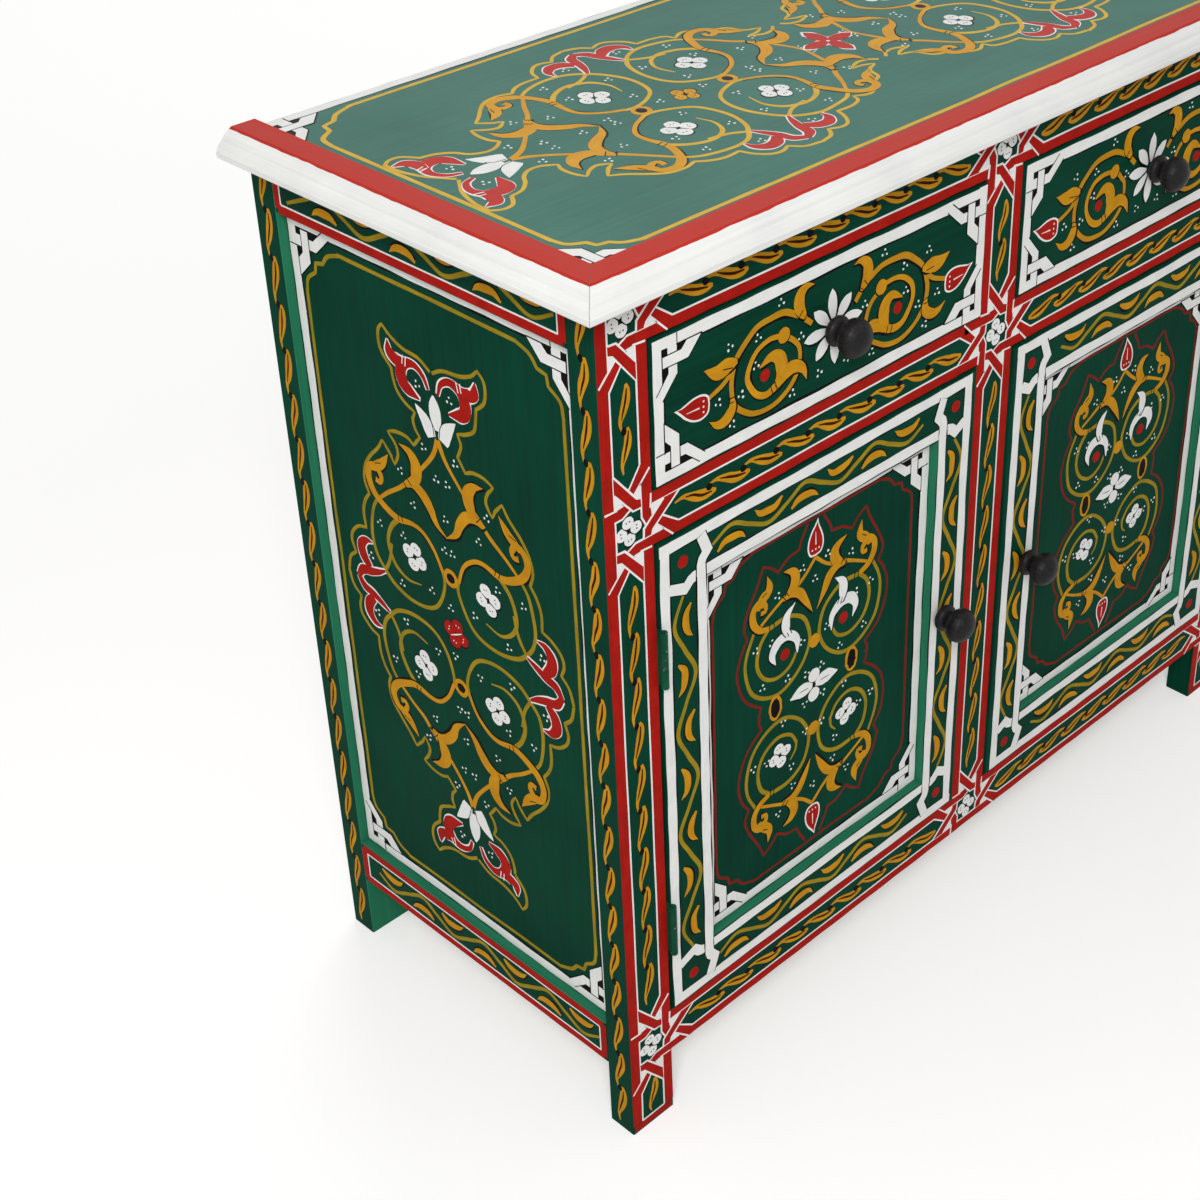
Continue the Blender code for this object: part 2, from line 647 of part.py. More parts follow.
def make_hinge(name, side, axis_x, middle, swing):
    """Butt hinge: two knuckles and the pin on the frame's leaf, the middle knuckle on the door's."""
    place = (axis_x, HINGE_Y, middle)
    half = HINGE_LENGTH / 2
    third = HINGE_LENGTH / 6
    leaf_span = (HINGE_Y, FACE + LEAF_WIDTH)
    height = (middle - half + CLEAR, middle + half - CLEAR)
    start = POST_FACE + CLEAR
    barrel = round_tool(name + "_barrel", KNUCKLE_RADIUS, HINGE_LENGTH, place, Z, HINGE_SIDES)
    pin = round_tool(name + "_pin", PIN_RADIUS, HINGE_LENGTH + 2 * PIN_TIP, place, Z, HINGE_SIDES)
    bore = round_tool(name + "_bore", PIN_RADIUS + CLEAR, 2 * HINGE_LENGTH, place, Z, HINGE_SIDES)
    around = (axis_x - 2 * KNUCKLE_RADIUS, axis_x + 2 * KNUCKLE_RADIUS)
    before = (HINGE_Y - 2 * KNUCKLE_RADIUS, HINGE_Y + KNUCKLE_RADIUS + CLEAR)
    gap = CLEAR / 2
    middle_zone = block_tool(name + "_middle", [around, before, (middle - third - gap, middle + third + gap)])
    upper_zone = block_tool(name + "_upper", [around, before, (middle + third - gap, middle + 2 * half)])
    lower_zone = block_tool(name + "_lower", [around, before, (middle - 2 * half, middle - third + gap)])
    frame_leaf = block(name + "_frame_leaf", [inset(side, start, start + LEAF_THICK), leaf_span, height],
                       HINGE_PAINT)
    fuse(frame_leaf, barrel)
    carve(middle_zone, frame_leaf)
    fuse(frame_leaf, pin)
    start += LEAF_THICK + CLEAR
    door_leaf = block(name + "_door_leaf", [inset(side, start, start + LEAF_THICK), leaf_span, height],
                      HINGE_PAINT, parent=swing)
    fuse(door_leaf, barrel)
    carve(upper_zone, door_leaf)
    carve(lower_zone, door_leaf)
    carve(bore, door_leaf)


def build():
    posts = make_posts()
    front_bottom = make_front_frame(posts)
    side_bottoms = make_side_frames(posts)
    back_bottom = make_back_frame(posts)
    make_boards(posts, [front_bottom, back_bottom, *side_bottoms])
    make_top()
    make_runners()
    for hand, side in SIDES.items():
        make_drawer(hand, side)
        make_door(hand, side)


build()
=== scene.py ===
"""Painted dresser: materials, painted ornament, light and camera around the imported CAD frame.

The ornament is drawn in millimetres on flat faces of the CAD frame, as thin raised coats of paint.
Along the front and the top, X runs from the left side of the carcass; along the sides, Y runs from the
front; Z is the height above the floor.
"""

import json
import math
import random

import bpy
from mathutils import Matrix, Vector


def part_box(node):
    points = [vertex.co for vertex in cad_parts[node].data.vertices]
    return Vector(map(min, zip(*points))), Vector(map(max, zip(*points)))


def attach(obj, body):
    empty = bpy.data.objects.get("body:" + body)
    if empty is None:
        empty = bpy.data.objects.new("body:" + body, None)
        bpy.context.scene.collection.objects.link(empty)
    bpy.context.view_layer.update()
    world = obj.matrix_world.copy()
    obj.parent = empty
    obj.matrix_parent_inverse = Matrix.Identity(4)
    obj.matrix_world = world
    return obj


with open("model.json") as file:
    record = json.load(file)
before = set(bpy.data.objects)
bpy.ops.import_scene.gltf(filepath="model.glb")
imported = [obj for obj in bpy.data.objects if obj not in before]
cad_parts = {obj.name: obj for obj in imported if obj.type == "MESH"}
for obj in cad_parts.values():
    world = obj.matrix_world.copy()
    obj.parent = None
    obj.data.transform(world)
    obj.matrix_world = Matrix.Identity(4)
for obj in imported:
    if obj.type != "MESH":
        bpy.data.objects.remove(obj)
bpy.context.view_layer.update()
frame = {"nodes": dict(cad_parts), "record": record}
NODES = frame["nodes"]
SLOT_OF = {part["node"]: part["material_slot"] for part in frame["record"]["subparts"]}

random.seed(7)

MM = 0.001
X, Y, Z = range(3)
LEFT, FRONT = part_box("post_front_left")[0].xy
WIDTH = -2 * LEFT / MM
SIDES = {"left": 1, "right": -1}


def span(node, axis):
    """Span of a node in millimetres from the left side, the front or the floor."""
    start = Vector((LEFT, FRONT, 0))
    low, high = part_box(node)
    return (low - start)[axis] / MM, (high - start)[axis] / MM


def inset(ends, low, high=None):
    """Span whose ends lie further in, both by the same length or each by its own."""
    return ends[0] + low, ends[1] - (low if high is None else high)


# Colours

def srgb(red, green, blue):
    shares = [channel / 255 for channel in (red, green, blue)]
    linear = [((s + 0.055) / 1.055) ** 2.4 if s > 0.04045 else s / 12.92 for s in shares]
    return (*linear, 1.0)


def shades(light, dark):
    return srgb(*light), srgb(*dark)


GREEN = shades((8, 66, 48), (5, 50, 37))
EDGE_GREEN = shades((48, 128, 96), (30, 98, 70))
# Green of the top board, lighter and greyer than the frame's green: painted sheen and painted light from
# above
TOP_GREEN_PAINTED_SHEEN = shades((74, 122, 109), (56, 103, 91))
HINGE_GREEN = shades((14, 82, 56), (8, 60, 43))
# Red of the moulding's flat top, lighter than the frame's red: painted light from above
MOULDING_RED_PAINTED_LIGHT = shades((194, 54, 42), (172, 42, 32))
PINE = shades((206, 174, 126), (172, 132, 86))
PLY = shades((190, 158, 116), (160, 124, 84))
STAIN = shades((32, 30, 31), (20, 19, 20))
RUBBED = srgb(56, 53, 52)
STEEL = srgb(120, 116, 108)
OCHRE, SCROLL, LINE = "ochre", "ochre_scroll", "ochre_line"
RED, RED_LINE, WHITE, BLACK, BROWN = "red", "red_line", "white", "black", "brown"
PAINTS = {
    OCHRE: shades((210, 150, 30), (180, 124, 22)),
    SCROLL: shades((198, 144, 30), (170, 120, 24)),
    LINE: shades((170, 141, 32), (134, 114, 28)),
    RED: shades((180, 30, 22), (146, 23, 16)),
    RED_LINE: shades((138, 32, 24), (108, 32, 24)),
    WHITE: shades((239, 239, 236), (224, 224, 222)),
    BLACK: shades((20, 16, 18), (10, 9, 11)),
    BROWN: shades((66, 27, 11), (40, 17, 9)),
}
# Ochre, line and red on the top, lighter than the same paints elsewhere: painted light from above
TOP_PAINTS_PAINTED_LIGHT = {
    **PAINTS,
    OCHRE: shades((220, 162, 46), (198, 140, 34)),
    LINE: shades((222, 182, 66), (198, 158, 52)),
    RED: shades((196, 54, 45), (172, 42, 35)),
}
COLOURS = list(PAINTS)


# Drawing by hand: smooth lines through a few points

# In millimetres: a curve's pieces, the hand's unsteadiness and its reach, and what keeps clear of an edge
STEP = 2.5
HAND = 0.3
STEADY = HAND / 2
FIRM = HAND / 3
HAND_REACH = 55
CLEAR = 1
# Where a coat starts and ends above its face, and how far a level stands over the one below
UNDERSIDE = -0.03
COAT = 0.08
LAYER = 0.05
# Slabs of one level keep apart: how many take turns, their share of a level, the rise along a stroke
ORDER = 11
ORDER_SHARE = 0.6
LIFT = 0.35
# Thinnest line, swelling along a stroke, how far its edge reaches into a bend, and points near a bend
THIN = 0.12
PRESS = 0.05
PRESS_RATE = 0.11
INSIDE = 0.85
BEND_POINTS = 2
NO_LENGTH = 0.0012
# Random starts of the swelling and of the brush marks
PHASES = 6
SEEDS = 900
# Sides of a dot, and turn, reach and radii of a group of three
DOT_SIDES = 20
TRIPLE_TURN = 0.5
TRIPLE_REACH = 3.0
TRIPLE_RADII = (0.8, 1.25)
# Dark line across a leaf or stem; how much wider and how far aside the shade of a stroke is
VEIN = 0.9
SHADE = 2.0
AWAY = (1.0, -1.0)
# Widths along leaves and petals
LEAF = [0.30, 0.72, 0.95, 1.0, 0.9, 0.68, 0.36, 0.0]
PETAL = [0.35, 0.8, 1.0, 0.95, 0.7, 0.1]
POINTED = [0.25, 0.55, 0.86, 1.0, 0.93, 0.68, 0.06]


def spline(run):
    """Smooth curve through a run of points, without its first point."""
    ends = [2 * run[0] - run[1], *run, 2 * run[-1] - run[-2]]
    curve = []
    for before, start, end, after in zip(ends, ends[1:], ends[2:], ends[3:]):
        steps = max(2, math.ceil((end - start).length / STEP))
        for index in range(1, steps + 1):
            t = index / steps
            square = 2 * before - 5 * start + 4 * end - after
            cube = 3 * start - before - 3 * end + after
            curve.append((2 * start + (end - before) * t + square * t ** 2 + cube * t ** 3) / 2)
    return curve


def smooth(points):
    """Curve through points, with a corner at each point that None follows."""
    runs = [[]]
    for point in points:
        if point is None:
            runs.append([runs[-1][-1]])
        else:
            runs[-1].append(Vector(point))
    curve = [runs[0][0]]
    for run in runs:
        curve += spline(run)
    return curve


def by_hand(points, amount):
    return [p and (p[0] + random.gauss(0, amount), p[1] + random.gauss(0, amount)) for p in points]


def straight(start, end):
    """Points along a line that a steady hand draws."""
    start, end = Vector(start), Vector(end)
    parts = max(1, round((end - start).length / HAND_REACH))
    return [start.lerp(end, index / parts) for index in range(parts + 1)]


def along(values, share):
    """Value at a share of the way along a list."""
    place = min(max(share, 0), 1) * (len(values) - 1)
    index = min(int(place), len(values) - 2)
    return values[index] + (values[index + 1] - values[index]) * (place - index)


def times(width, shape):
    return [width * share for share in shape]


def turn_rate(before, point, after):
    """Change of direction for each millimetre, positive where a line turns left."""
    first, second = point - before, after - point
    length = first.length + second.length
    if min(first.length, second.length) < NO_LENGTH:
        return 0.0
    return 2 * math.atan2(first.cross(second), first.dot(second)) / length


def half_widths(lengths, widths, phase):
    """Half the width at each point of a stroke that swells along its way."""
    halves = []
    for length in lengths:
        press = 1 + PRESS * math.sin(phase + length * PRESS_RATE)
        halves.append(max(along(widths, length / lengths[-1]) * press, THIN) / 2)
    return halves


def stroke_edges(line, halves):
    """Left and right edge of a stroke, kept short of the middle of each bend."""
    threes = list(zip([line[0], *line], line, [*line[1:], line[-1]]))
    rates = [turn_rate(*three) for three in threes]
    lefts, rights = [], []
    for index, (before, point, after) in enumerate(threes):
        way = (after - before).normalized()
        across = Vector((-way.y, way.x))
        near = rates[max(index - BEND_POINTS, 0):index + BEND_POINTS + 1]
        lefts.append(point + across * min(halves[index], INSIDE / max(*near, THIN)))
        rights.append(point - across * min(halves[index], INSIDE / max(-min(near), THIN)))
    return lefts, rights


def ribbon(points, width):
    """Outline of a straight-sided strip along points, mitred at its corners."""
    line = [Vector(p) for p in points]
    ways = [(b - a).normalized() for a, b in zip(line, line[1:])]
    lefts, rights = [], []
    for index, point in enumerate(line):
        before, after = ways[max(index - 1, 0)], ways[min(index, len(ways) - 1)]
        middle = (before + after).normalized()
        across = Vector((-middle.y, middle.x)) * width / 2 / middle.dot(after)
        lefts.append(point + across)
        rights.append(point - across)
    return lefts + rights[::-1]


def circle(centre, radius, tall=None):
    tall = tall or radius
    turns = [2 * math.pi * index / DOT_SIDES for index in range(DOT_SIDES)]
    return [(centre[0] + radius * math.cos(t), centre[1] + tall * math.sin(t)) for t in turns]


class Face:
    """Flat face of the frame, and the body that carries it."""

    def __init__(self, name, body, origin, right, up, out, shade=1.0):
        self.name, self.body, self.shade = name, body, shade
        self.origin = Vector(origin)
        self.right, self.up, self.out = Vector(right), Vector(up), Vector(out)
        self.turn = self.right.cross(self.up).dot(self.out)
        self.coats = {}

    def place(self, point, height):
        return self.origin + (self.right * point.x + self.up * point.y + self.out * height) * MM


class Coat:
    """Mesh data of one colour on one face."""

    def __init__(self):
        self.places, self.faces, self.brush = [], [], []
        self.slabs = 0


class Pen:
    """Draws on a face, from an origin, along its own two directions."""

    def __init__(self, face, origin=(0, 0), x=(1, 0), y=(0, 1)):
        self.face, self.origin = face, Vector(origin)
        self.x, self.y = Vector(x), Vector(y)

    def way(self, direction):
        return self.x * direction[0] + self.y * direction[1]

    def spot(self, point):
        return self.origin + self.way(point)

    def moved(self, origin, x=(1, 0), y=(0, 1)):
        return Pen(self.face, self.spot(origin), self.way(x), self.way(y))

    def flipped(self, a, b=1):
        """The same place, with x or y the other way round where a or b is -1."""
        return self.moved((0, 0), (a, 0), (0, b))

    def mirrored(self):
        """The same face, drawn from the right side of the dresser."""
        return self.moved((WIDTH, 0), (-1, 0))

    def slab(self, outline, colour, level, brush, faces, rim, lifts):
        """Closed slab over an outline on the face. No two slabs that may overlap have the same height."""
        coat = self.face.coats.setdefault(colour, Coat())
        order = (coat.slabs % ORDER + COLOURS.index(colour) / len(COLOURS)) / ORDER
        coat.slabs += 1
        base, top = len(coat.places), len(coat.places) + len(outline)
        heights = [COAT + LAYER * (level + ORDER_SHARE * order + LIFT * lift) for lift in lifts]
        spots = [self.spot(point) for point in outline]
        coat.places += [self.face.place(spot, UNDERSIDE) for spot in spots]
        coat.places += [self.face.place(spot, height) for spot, height in zip(spots, heights)]
        coat.brush += brush * 2
        made = [[top + index for index in face] for face in faces]
        made += [[base + index for index in reversed(face)] for face in faces]
        made += [[base + start, base + end, top + end, top + start] for start, end in rim]
        same = self.face.turn * self.x.cross(self.y) > 0
        coat.faces += made if same else [face[::-1] for face in made]

    def fill(self, outline, colour, level=1, hand=HAND, way=(1, 0)):
        """Flat shape inside an outline, brushed along a direction."""
        rows = [Vector(p) for p in by_hand(outline, hand)]
        if sum(a.cross(b) for a, b in zip(rows, rows[1:] + rows[:1])) < 0:
            rows.reverse()
        count = len(rows)
        seed = random.uniform(0, SEEDS)
        way = Vector(way).normalized()
        brush = [(p.dot(way) + seed, p.cross(way), seed) for p in rows]
        rim = [(index, (index + 1) % count) for index in range(count)]
        self.slab(rows, colour, level, brush, [range(count)], rim, [0] * count)

    def strip(self, points, width, colour, level=1, hand=STEADY):
        """Straight-sided strip along points."""
        way = Vector(points[-1]) - Vector(points[0])
        self.fill(ribbon(points, width), colour, level, hand, way)

    def stroke(self, points, width, colour, level=1, hand=HAND):
        """Brush stroke through points. Its width is a number, or a list along it."""
        line = smooth(by_hand(points, hand))
        lengths = [0.0]
        for a, b in zip(line, line[1:]):
            lengths.append(lengths[-1] + (b - a).length)
        widths = width if isinstance(width, list) else [width, width]
        phase, seed = random.uniform(0, PHASES), random.uniform(0, SEEDS)
        halves = half_widths(lengths, widths, phase)
        lefts, rights = stroke_edges(line, halves)
        brush = [(length + seed, half, seed) for length, half in zip(lengths, halves)]
        brush += [(length, -half, third) for length, half, third in brush]
        count = len(line)
        steps = range(count - 1)
        quads = [[i + count, i + count + 1, i + 1, i] for i in steps]
        rim = [(i + count, i + count + 1) for i in steps] + [(i + 1, i) for i in steps]
        rim += [(0, count), (2 * count - 1, count - 1)]
        lifts = [length / lengths[-1] for length in lengths] * 2
        self.slab(lefts + rights, colour, level, brush, quads, rim, lifts)

    def rule(self, start, end, width, colour, level=1, hand=HAND):
        self.stroke(straight(start, end), width, colour, level, hand)

    def vein(self, points):
        self.stroke(points, VEIN, BLACK, 4)

    def dot(self, centre, radius, colour, level=1, tall=None):
        self.fill(circle(centre, radius, tall), colour, level, FIRM)

    def lined(self, points, widths, colour=OCHRE, level=2, shade=SHADE, away=AWAY):
        """Brush stroke with a dark line along its shaded side."""
        depth = self.face.shade
        moved = [p and (p[0] + away[0] * depth, p[1] + away[1] * depth) for p in points]
        self.stroke(moved, [w + shade * depth for w in widths], BLACK, level - 1)
        self.stroke(points, widths, colour, level)

    def leaf(self, spine, width, colour=OCHRE, level=2, shape=LEAF, shade=SHADE, away=AWAY):
        """Leaf along a spine, with a dark line along its shaded side."""
        self.lined(spine, times(width, shape), colour, level, shade, away)

    def dots(self, *centres):
        """Groups of three small white dots."""
        for a, b in centres:
            turn = random.uniform(-TRIPLE_TURN, TRIPLE_TURN)
            for step in range(3):
                angle = turn + math.pi / 2 + step * 2 * math.pi / 3
                centre = (a + TRIPLE_REACH * math.cos(angle), b + TRIPLE_REACH * math.sin(angle))
                self.dot(centre, random.uniform(*TRIPLE_RADII), WHITE, 2, random.uniform(*TRIPLE_RADII))


# Small motifs

FLOWER_TURN = 0.1
FLOWER_SHADE = 0.6
FLOWER_OVAL = (0.9, 1.02)
FLOWER_DOTS = (-1.5, 1.7)
FLOWER_DOT = 0.7
FLOWER_DOT_REACH = 1.08
FLOWER_LINE = [0.6, 1.5, 0.6]


def flower(pen, colour, petal=7.0, reach=8.9, marks=BLACK, turn=0.2):
    """Flower of four round petals, each with two dots, and a dark line across."""
    turn = random.uniform(turn - FLOWER_TURN, turn + FLOWER_TURN)
    for step in range(4):
        angle = turn + step * math.pi / 2
        way = Vector((math.cos(angle), math.sin(angle)))
        side = Vector((-way.y, way.x))
        pen.dot(way * reach + Vector(AWAY) / 2, petal + FLOWER_SHADE, BLACK, 1)
        pen.dot(way * reach, petal, colour, 2, petal * random.uniform(*FLOWER_OVAL))
        for offset in FLOWER_DOTS:
            pen.dot(way * reach * FLOWER_DOT_REACH + side * offset, FLOWER_DOT, marks, 3)
    slant = Vector((math.cos(turn - math.pi / 4), math.sin(turn - math.pi / 4))) * reach
    pen.stroke([-slant, (0, 0), slant], FLOWER_LINE, marks, 3)


BUD = [(0, 0), (0.34, 0.04), (0.5, 0.22), (0.47, 0.46), (0.32, 0.68), (0.19, 0.85), (0.14, 1.0), None,
       (-0.04, 0.86), (-0.27, 0.70), (-0.46, 0.48), (-0.5, 0.24), (-0.34, 0.04), (0, 0)]
BUD_RIM = 1.6
BUD_LINE = [1.4, 0.5]
BUD_DOT = 0.9


def bud(pen, length, width, bend=0.0):
    """Red bud with a white rim, its tip along y. bend moves the tip along x."""
    for rim, colour, level in ((BUD_RIM, WHITE, 2), (0, RED, 3)):
        wide, long = width + 2 * rim, length + 3 * rim
        outline = smooth([p and (p[0] * wide + bend * p[1] ** 2, p[1] * long - rim) for p in BUD])
        pen.fill(outline[1:], colour, level, 0, (0, 1))
    pen.stroke([(0, length * 0.3), (0.4, length * 0.7)], BUD_LINE, WHITE, 4)
    for place in (-0.25, 0, 0.25):
        pen.dot((width * place, length * 0.16), BUD_DOT, WHITE, 4)


RIM = 2.2


def rimmed(pen, spine, widths, level=2):
    """Red leaf with a white rim."""
    pen.stroke(spine, [w + RIM for w in widths], WHITE, level)
    pen.stroke(spine, widths, RED, level + 1)


def straps(pen, a, b, across):
    """Short dark lines across a stem, at two places on it."""
    a, b = Vector(a), Vector(b)
    way = (b - a).normalized()
    side = Vector((-way.y, way.x)) * across / 2
    for place in (a, b):
        pen.vein([place + side, place, place - side])


def corners(us, vs):
    """Corners of a box, each with the two ways into the box."""
    for u, to_u in zip(us, (1, -1)):
        for v, to_v in zip(vs, (1, -1)):
            yield (u, v), (to_u, 0), (0, to_v)


# Bracket at a field's corner, and the lines between: insets along both axes, width, and scales of the
# lower and the upper brackets
OGEE = [(0, 48), (3, 35), (15, 26), None, (17, 17), None, (27, 15), None, (35, 6), (50, 0)]
SIDE_OGEE = ((17, 16), (17, 19), 3.6, (1.0, 1.0))
TOP_OGEE = ((13, 13), (10.5, 19), 4.2, (0.95, 1.25))
DOOR_OGEE = ((14, 22), (20, 13), 2.6, (0.95, 0.95))


def ogee_frame(pen, us, vs, line, colour):
    """Thin line round a field, with a bracket at each corner."""
    inset_u, inset_v, width, scales = line
    us, vs = inset(us, *inset_u), inset(vs, *inset_v)
    for place, x, y in corners(us, vs):
        scale = scales[vs.index(place[1])]
        pen.moved(place, x, y).stroke([p and (p[0] * scale, p[1] * scale) for p in OGEE], width, colour)
    tall, wide = OGEE[0][1] - CLEAR, OGEE[-1][0] - CLEAR
    for u in us:
        pen.rule((u, vs[0] + tall * scales[0]), (u, vs[1] - tall * scales[1]), width, colour)
    for v, scale in zip(vs, scales):
        pen.rule((us[0] + wide * scale, v), (us[1] - wide * scale, v), width, colour)


KNOT_GAPS = [
    [(10, 10), (16.5, 10), (16.5, 16.5), (10, 16.5)], [(27, 10), (37, 10), (31, 17), (27, 17)],
    [(10, 27), (17, 27), (17, 33), (10, 41)]]
KNOT_UPRIGHT = [(16.5, 5), (27, 5), (27, 36), (9, 56), (9, 42), (16.5, 33)]
KNOT_UPRIGHT_LINES = [[(27, 0.5), (27, 36), (9.5, 55.5)], [(16.5, 26), (16.5, 33), (3, 49)]]
KNOT_LEVEL = [(10.5, 16.5), (31, 16.5), (37, 10.5), (54, 10.5), (39, 27), (10.5, 27)]
KNOT_LEVEL_LINES = [
    [(10.5, 16.5), (31, 16.5), (37, 10.5)], [(10.5, 27), (39, 27), (54.5, 10.2)],
    [(10.3, 10), (10.3, 41)], [(26, 10.3), (54, 10.3)]]
KNOT_LINE = 1.0


def knot(corner, scale=1.0):
    """Straps that cross at the corner of a white border. The border's outer corner is the origin."""
    pen = corner.moved((0, 0), (scale, 0), (0, scale))
    for gap in KNOT_GAPS:
        pen.fill(gap, BLACK, 3, STEADY)
    bars = ((KNOT_UPRIGHT, KNOT_UPRIGHT_LINES, 4), (KNOT_LEVEL, KNOT_LEVEL_LINES, 6))
    for outline, lines, level in bars:
        pen.fill(outline, WHITE, level, FIRM)
        for line in lines:
            pen.strip(line, KNOT_LINE, BLACK, level + 1, FIRM)


STRIP = 10.0
STRIP_SHADE = 1.4
KNOTTED_SHADE = 1.8


def border(pen, us, vs, shade=STRIP_SHADE):
    """White strip round a field, with a dark line on its inner side."""
    sides = [((u, vs[0]), (u, vs[1]), (way, 0)) for u, way in zip(inset(us, STRIP / 2), (1, -1))]
    sides += [((us[0], v), (us[1], v), (0, way)) for v, way in zip(inset(vs, STRIP / 2), (1, -1))]
    for start, end, inward in sides:
        aside = Vector(inward) * shade
        pen.rule(Vector(start) + aside, Vector(end) + aside, STRIP, BLACK, 0)
        pen.rule(start, end, STRIP, WHITE, 2)


def knotted_border(pen, us, vs, scale=1.0):
    """White border with a knot at each corner. Each knot is the next one, turned."""
    border(pen, us, vs, KNOTTED_SHADE)
    for place, x, y in corners(us, vs):
        ways = (x, y) if x[0] != y[1] else (y, x)
        knot(pen.moved(place, *ways), scale)


def pen_along(pen, start, end):
    """Pen whose x runs from start to end, and the way's length."""
    start, end = Vector(start), Vector(end)
    length = (end - start).length
    way = (end - start) / length
    return pen.moved(start, way, (-way.y, way.x)), length


VINE_HALF_LEAF = 16.0
VINE_WIDTH = 7.4
CRESCENT = [0.3, 0.74, 0.95, 1.0, 0.9, 0.62, 0.05]
# A leaf's spine: shares of half its length, and of how far its ends and its middle lie aside
VINE_SPINE = [(-1, 0.9, 0), (-0.5, 0.15, 0.85), (0.1, 0, 1), (0.62, 0.25, 0.75), (1, 1, 0)]
VINE_SHADE = 0.9
VINE_AWAY = (0.3, 1.1)
VINE_STEM = [2.8, *[4.1] * 8, 2.8]


def vine(pen, start, end, period, swing, leaf_at, turned=True, skip=0):
    """Wavy stem from start to end, with a comma leaf in each bend. A negative swing bends it right first.
    leaf_at is how far a leaf's ends and its middle lie from the stem's axis. The stem starts in the middle
    of the first bend, without that bend's leaf, if skip is 1."""
    line, length = pen_along(pen, start, end)
    bends = max(2, round(2 * length / period))
    pitch = length / bends
    stem = [(index * pitch / 2, swing * (0, 1, 0, -1)[index % 4]) for index in range(skip, 2 * bends + 1)]
    line.stroke(stem, VINE_STEM, LINE)
    for bend in range(skip, bends):
        side = math.copysign(1, swing) * (-1) ** bend
        flip = side if turned else 1
        low, high = (-side * away for away in leaf_at)
        spine = [(VINE_HALF_LEAF * a, low * b + high * c) for a, b, c in VINE_SPINE]
        leaf = line.moved(((bend + 0.5) * pitch, 0), (flip, 0))
        away = (VINE_AWAY[0] * flip, VINE_AWAY[1] * side)
        leaf.leaf(spine, VINE_WIDTH, OCHRE, 3, CRESCENT, VINE_SHADE, away)


CHAIN_LEAF = [(0, 3.8), (0.14, 4.4), (0.36, 3.0), (0.58, -0.6), (0.8, -4.2), (1, -3.2)]
CHAIN_SHAPE = [0.3, 0.72, 0.94, 1.0, 0.97, 0.86, 0.66, 0.44, 0.28, 0.15]
CHAIN_VEIN = [(0.1, 4.2), (0.34, 2.9), (0.56, -0.6), (0.74, -3.2)]
CHAIN_VEIN_WIDTHS = [1.3, 2.6, 2.4, 0.9]
CHAIN_TOUCH = (0.3, -0.8)
CHAIN_TOUCH_RADII = (3.5, 3.1)
CHAIN_WIDTH = 9.6
# Pitch of the leaves, how far one reaches past the next one's head, and their spread across
RAIL_LEAVES = (37.5, 7.0, 1.0)
POST_LEAVES = (43.0, 2.0, 0.85)


def chain(pen, start, end, leaves, lean=1, width=CHAIN_WIDTH):
    """Row of leaves, each with a dark vein and a dark touch where the next one starts."""
    line, length = pen_along(pen, start, end)
    pitch, overlap, spread = leaves
    count = max(1, round(length / pitch))
    pitch = length / count
    size = pitch + overlap
    for index in range(count):
        leaf = line.moved((index * pitch - overlap / 2, 0), y=(0, lean * spread))
        leaf.stroke([(a * size, b) for a, b in CHAIN_LEAF], times(width, CHAIN_SHAPE), OCHRE)
        leaf.stroke([(a * size, b) for a, b in CHAIN_VEIN], CHAIN_VEIN_WIDTHS, BROWN, 2)
        if index < count - 1:
            wide, tall = CHAIN_TOUCH_RADII
            leaf.dot((size + CHAIN_TOUCH[0], CHAIN_TOUCH[1]), wide, BLACK, 3, tall)


# Interlaced red bands of the front frame

# From a band's axis: its field, its edge, and along it the end of a crossing
FIELD = 13.4
EDGE = 23.3
ARM = 52
WHITE_LINE = 1.65
TURNS = {
    "up": ((1, 0), (0, 1)), "right": ((0, -1), (1, 0)), "down": ((-1, 0), (0, -1)), "left": ((0, 1), (-1, 0))}
ALL_ARMS = list(TURNS)


def stripe(pen, start, end, inner):
    """Red stripe along one edge of a band, with a white line on its inner side."""
    start, end = Vector(start), Vector(end)
    way = (end - start).normalized()
    side = Vector((-way.y, way.x)) * inner
    width = EDGE - FIELD
    middle, line = side * (FIELD + width / 2), side * FIELD
    pen.rule(start + middle, end + middle, width, RED, 1, STEADY)
    pen.rule(start + line, end + line, WHITE_LINE, WHITE, 2, STEADY)


def band(pen, start, end, leaves):
    """Band between two crossings: a stripe on each edge and a chain of leaves."""
    for inner in (1, -1):
        stripe(pen, start, end, inner)
    chain(pen, start, end, leaves)


FAR_STRAP = [(FIELD, ARM), (-1, 32.2), (5, 27.5), (EDGE, 45.5), (EDGE, ARM)]
FAR_LINES = [[(FIELD, ARM), (-1, 32.2)], [(5, 27.5), (EDGE, 46)]]
NEAR_BEND = [(-14, EDGE - 0.5), (-3, 24), (4, 17), (-4, FIELD), (-FIELD, FIELD)]
NEAR_REACH = 45
OVER_STRAP = [(-FIELD, 53), (9, 25), (FIELD, 23.5), (FIELD, 15), (5, 15.5), (-FIELD, 37)]
OVER_LINES = [[(-FIELD, 53), (9, 25), (FIELD, 23.5)], [(-FIELD, 37), (5, 15.5), (FIELD, 15)]]
ARM_FILLERS = [[(-FIELD, 38), (-FIELD, 23), (-3, 22)], [(5, 28), (FIELD, 37), (FIELD, 23), (8, 24.5)]]
ARM_STRIPE = [(-EDGE, EDGE + 0.6), (-FIELD, EDGE + 0.6), (-FIELD, ARM + 1), (-EDGE, ARM + 1)]
ARM_LINE = [(-FIELD, EDGE + 1), (-FIELD, ARM + 1)]


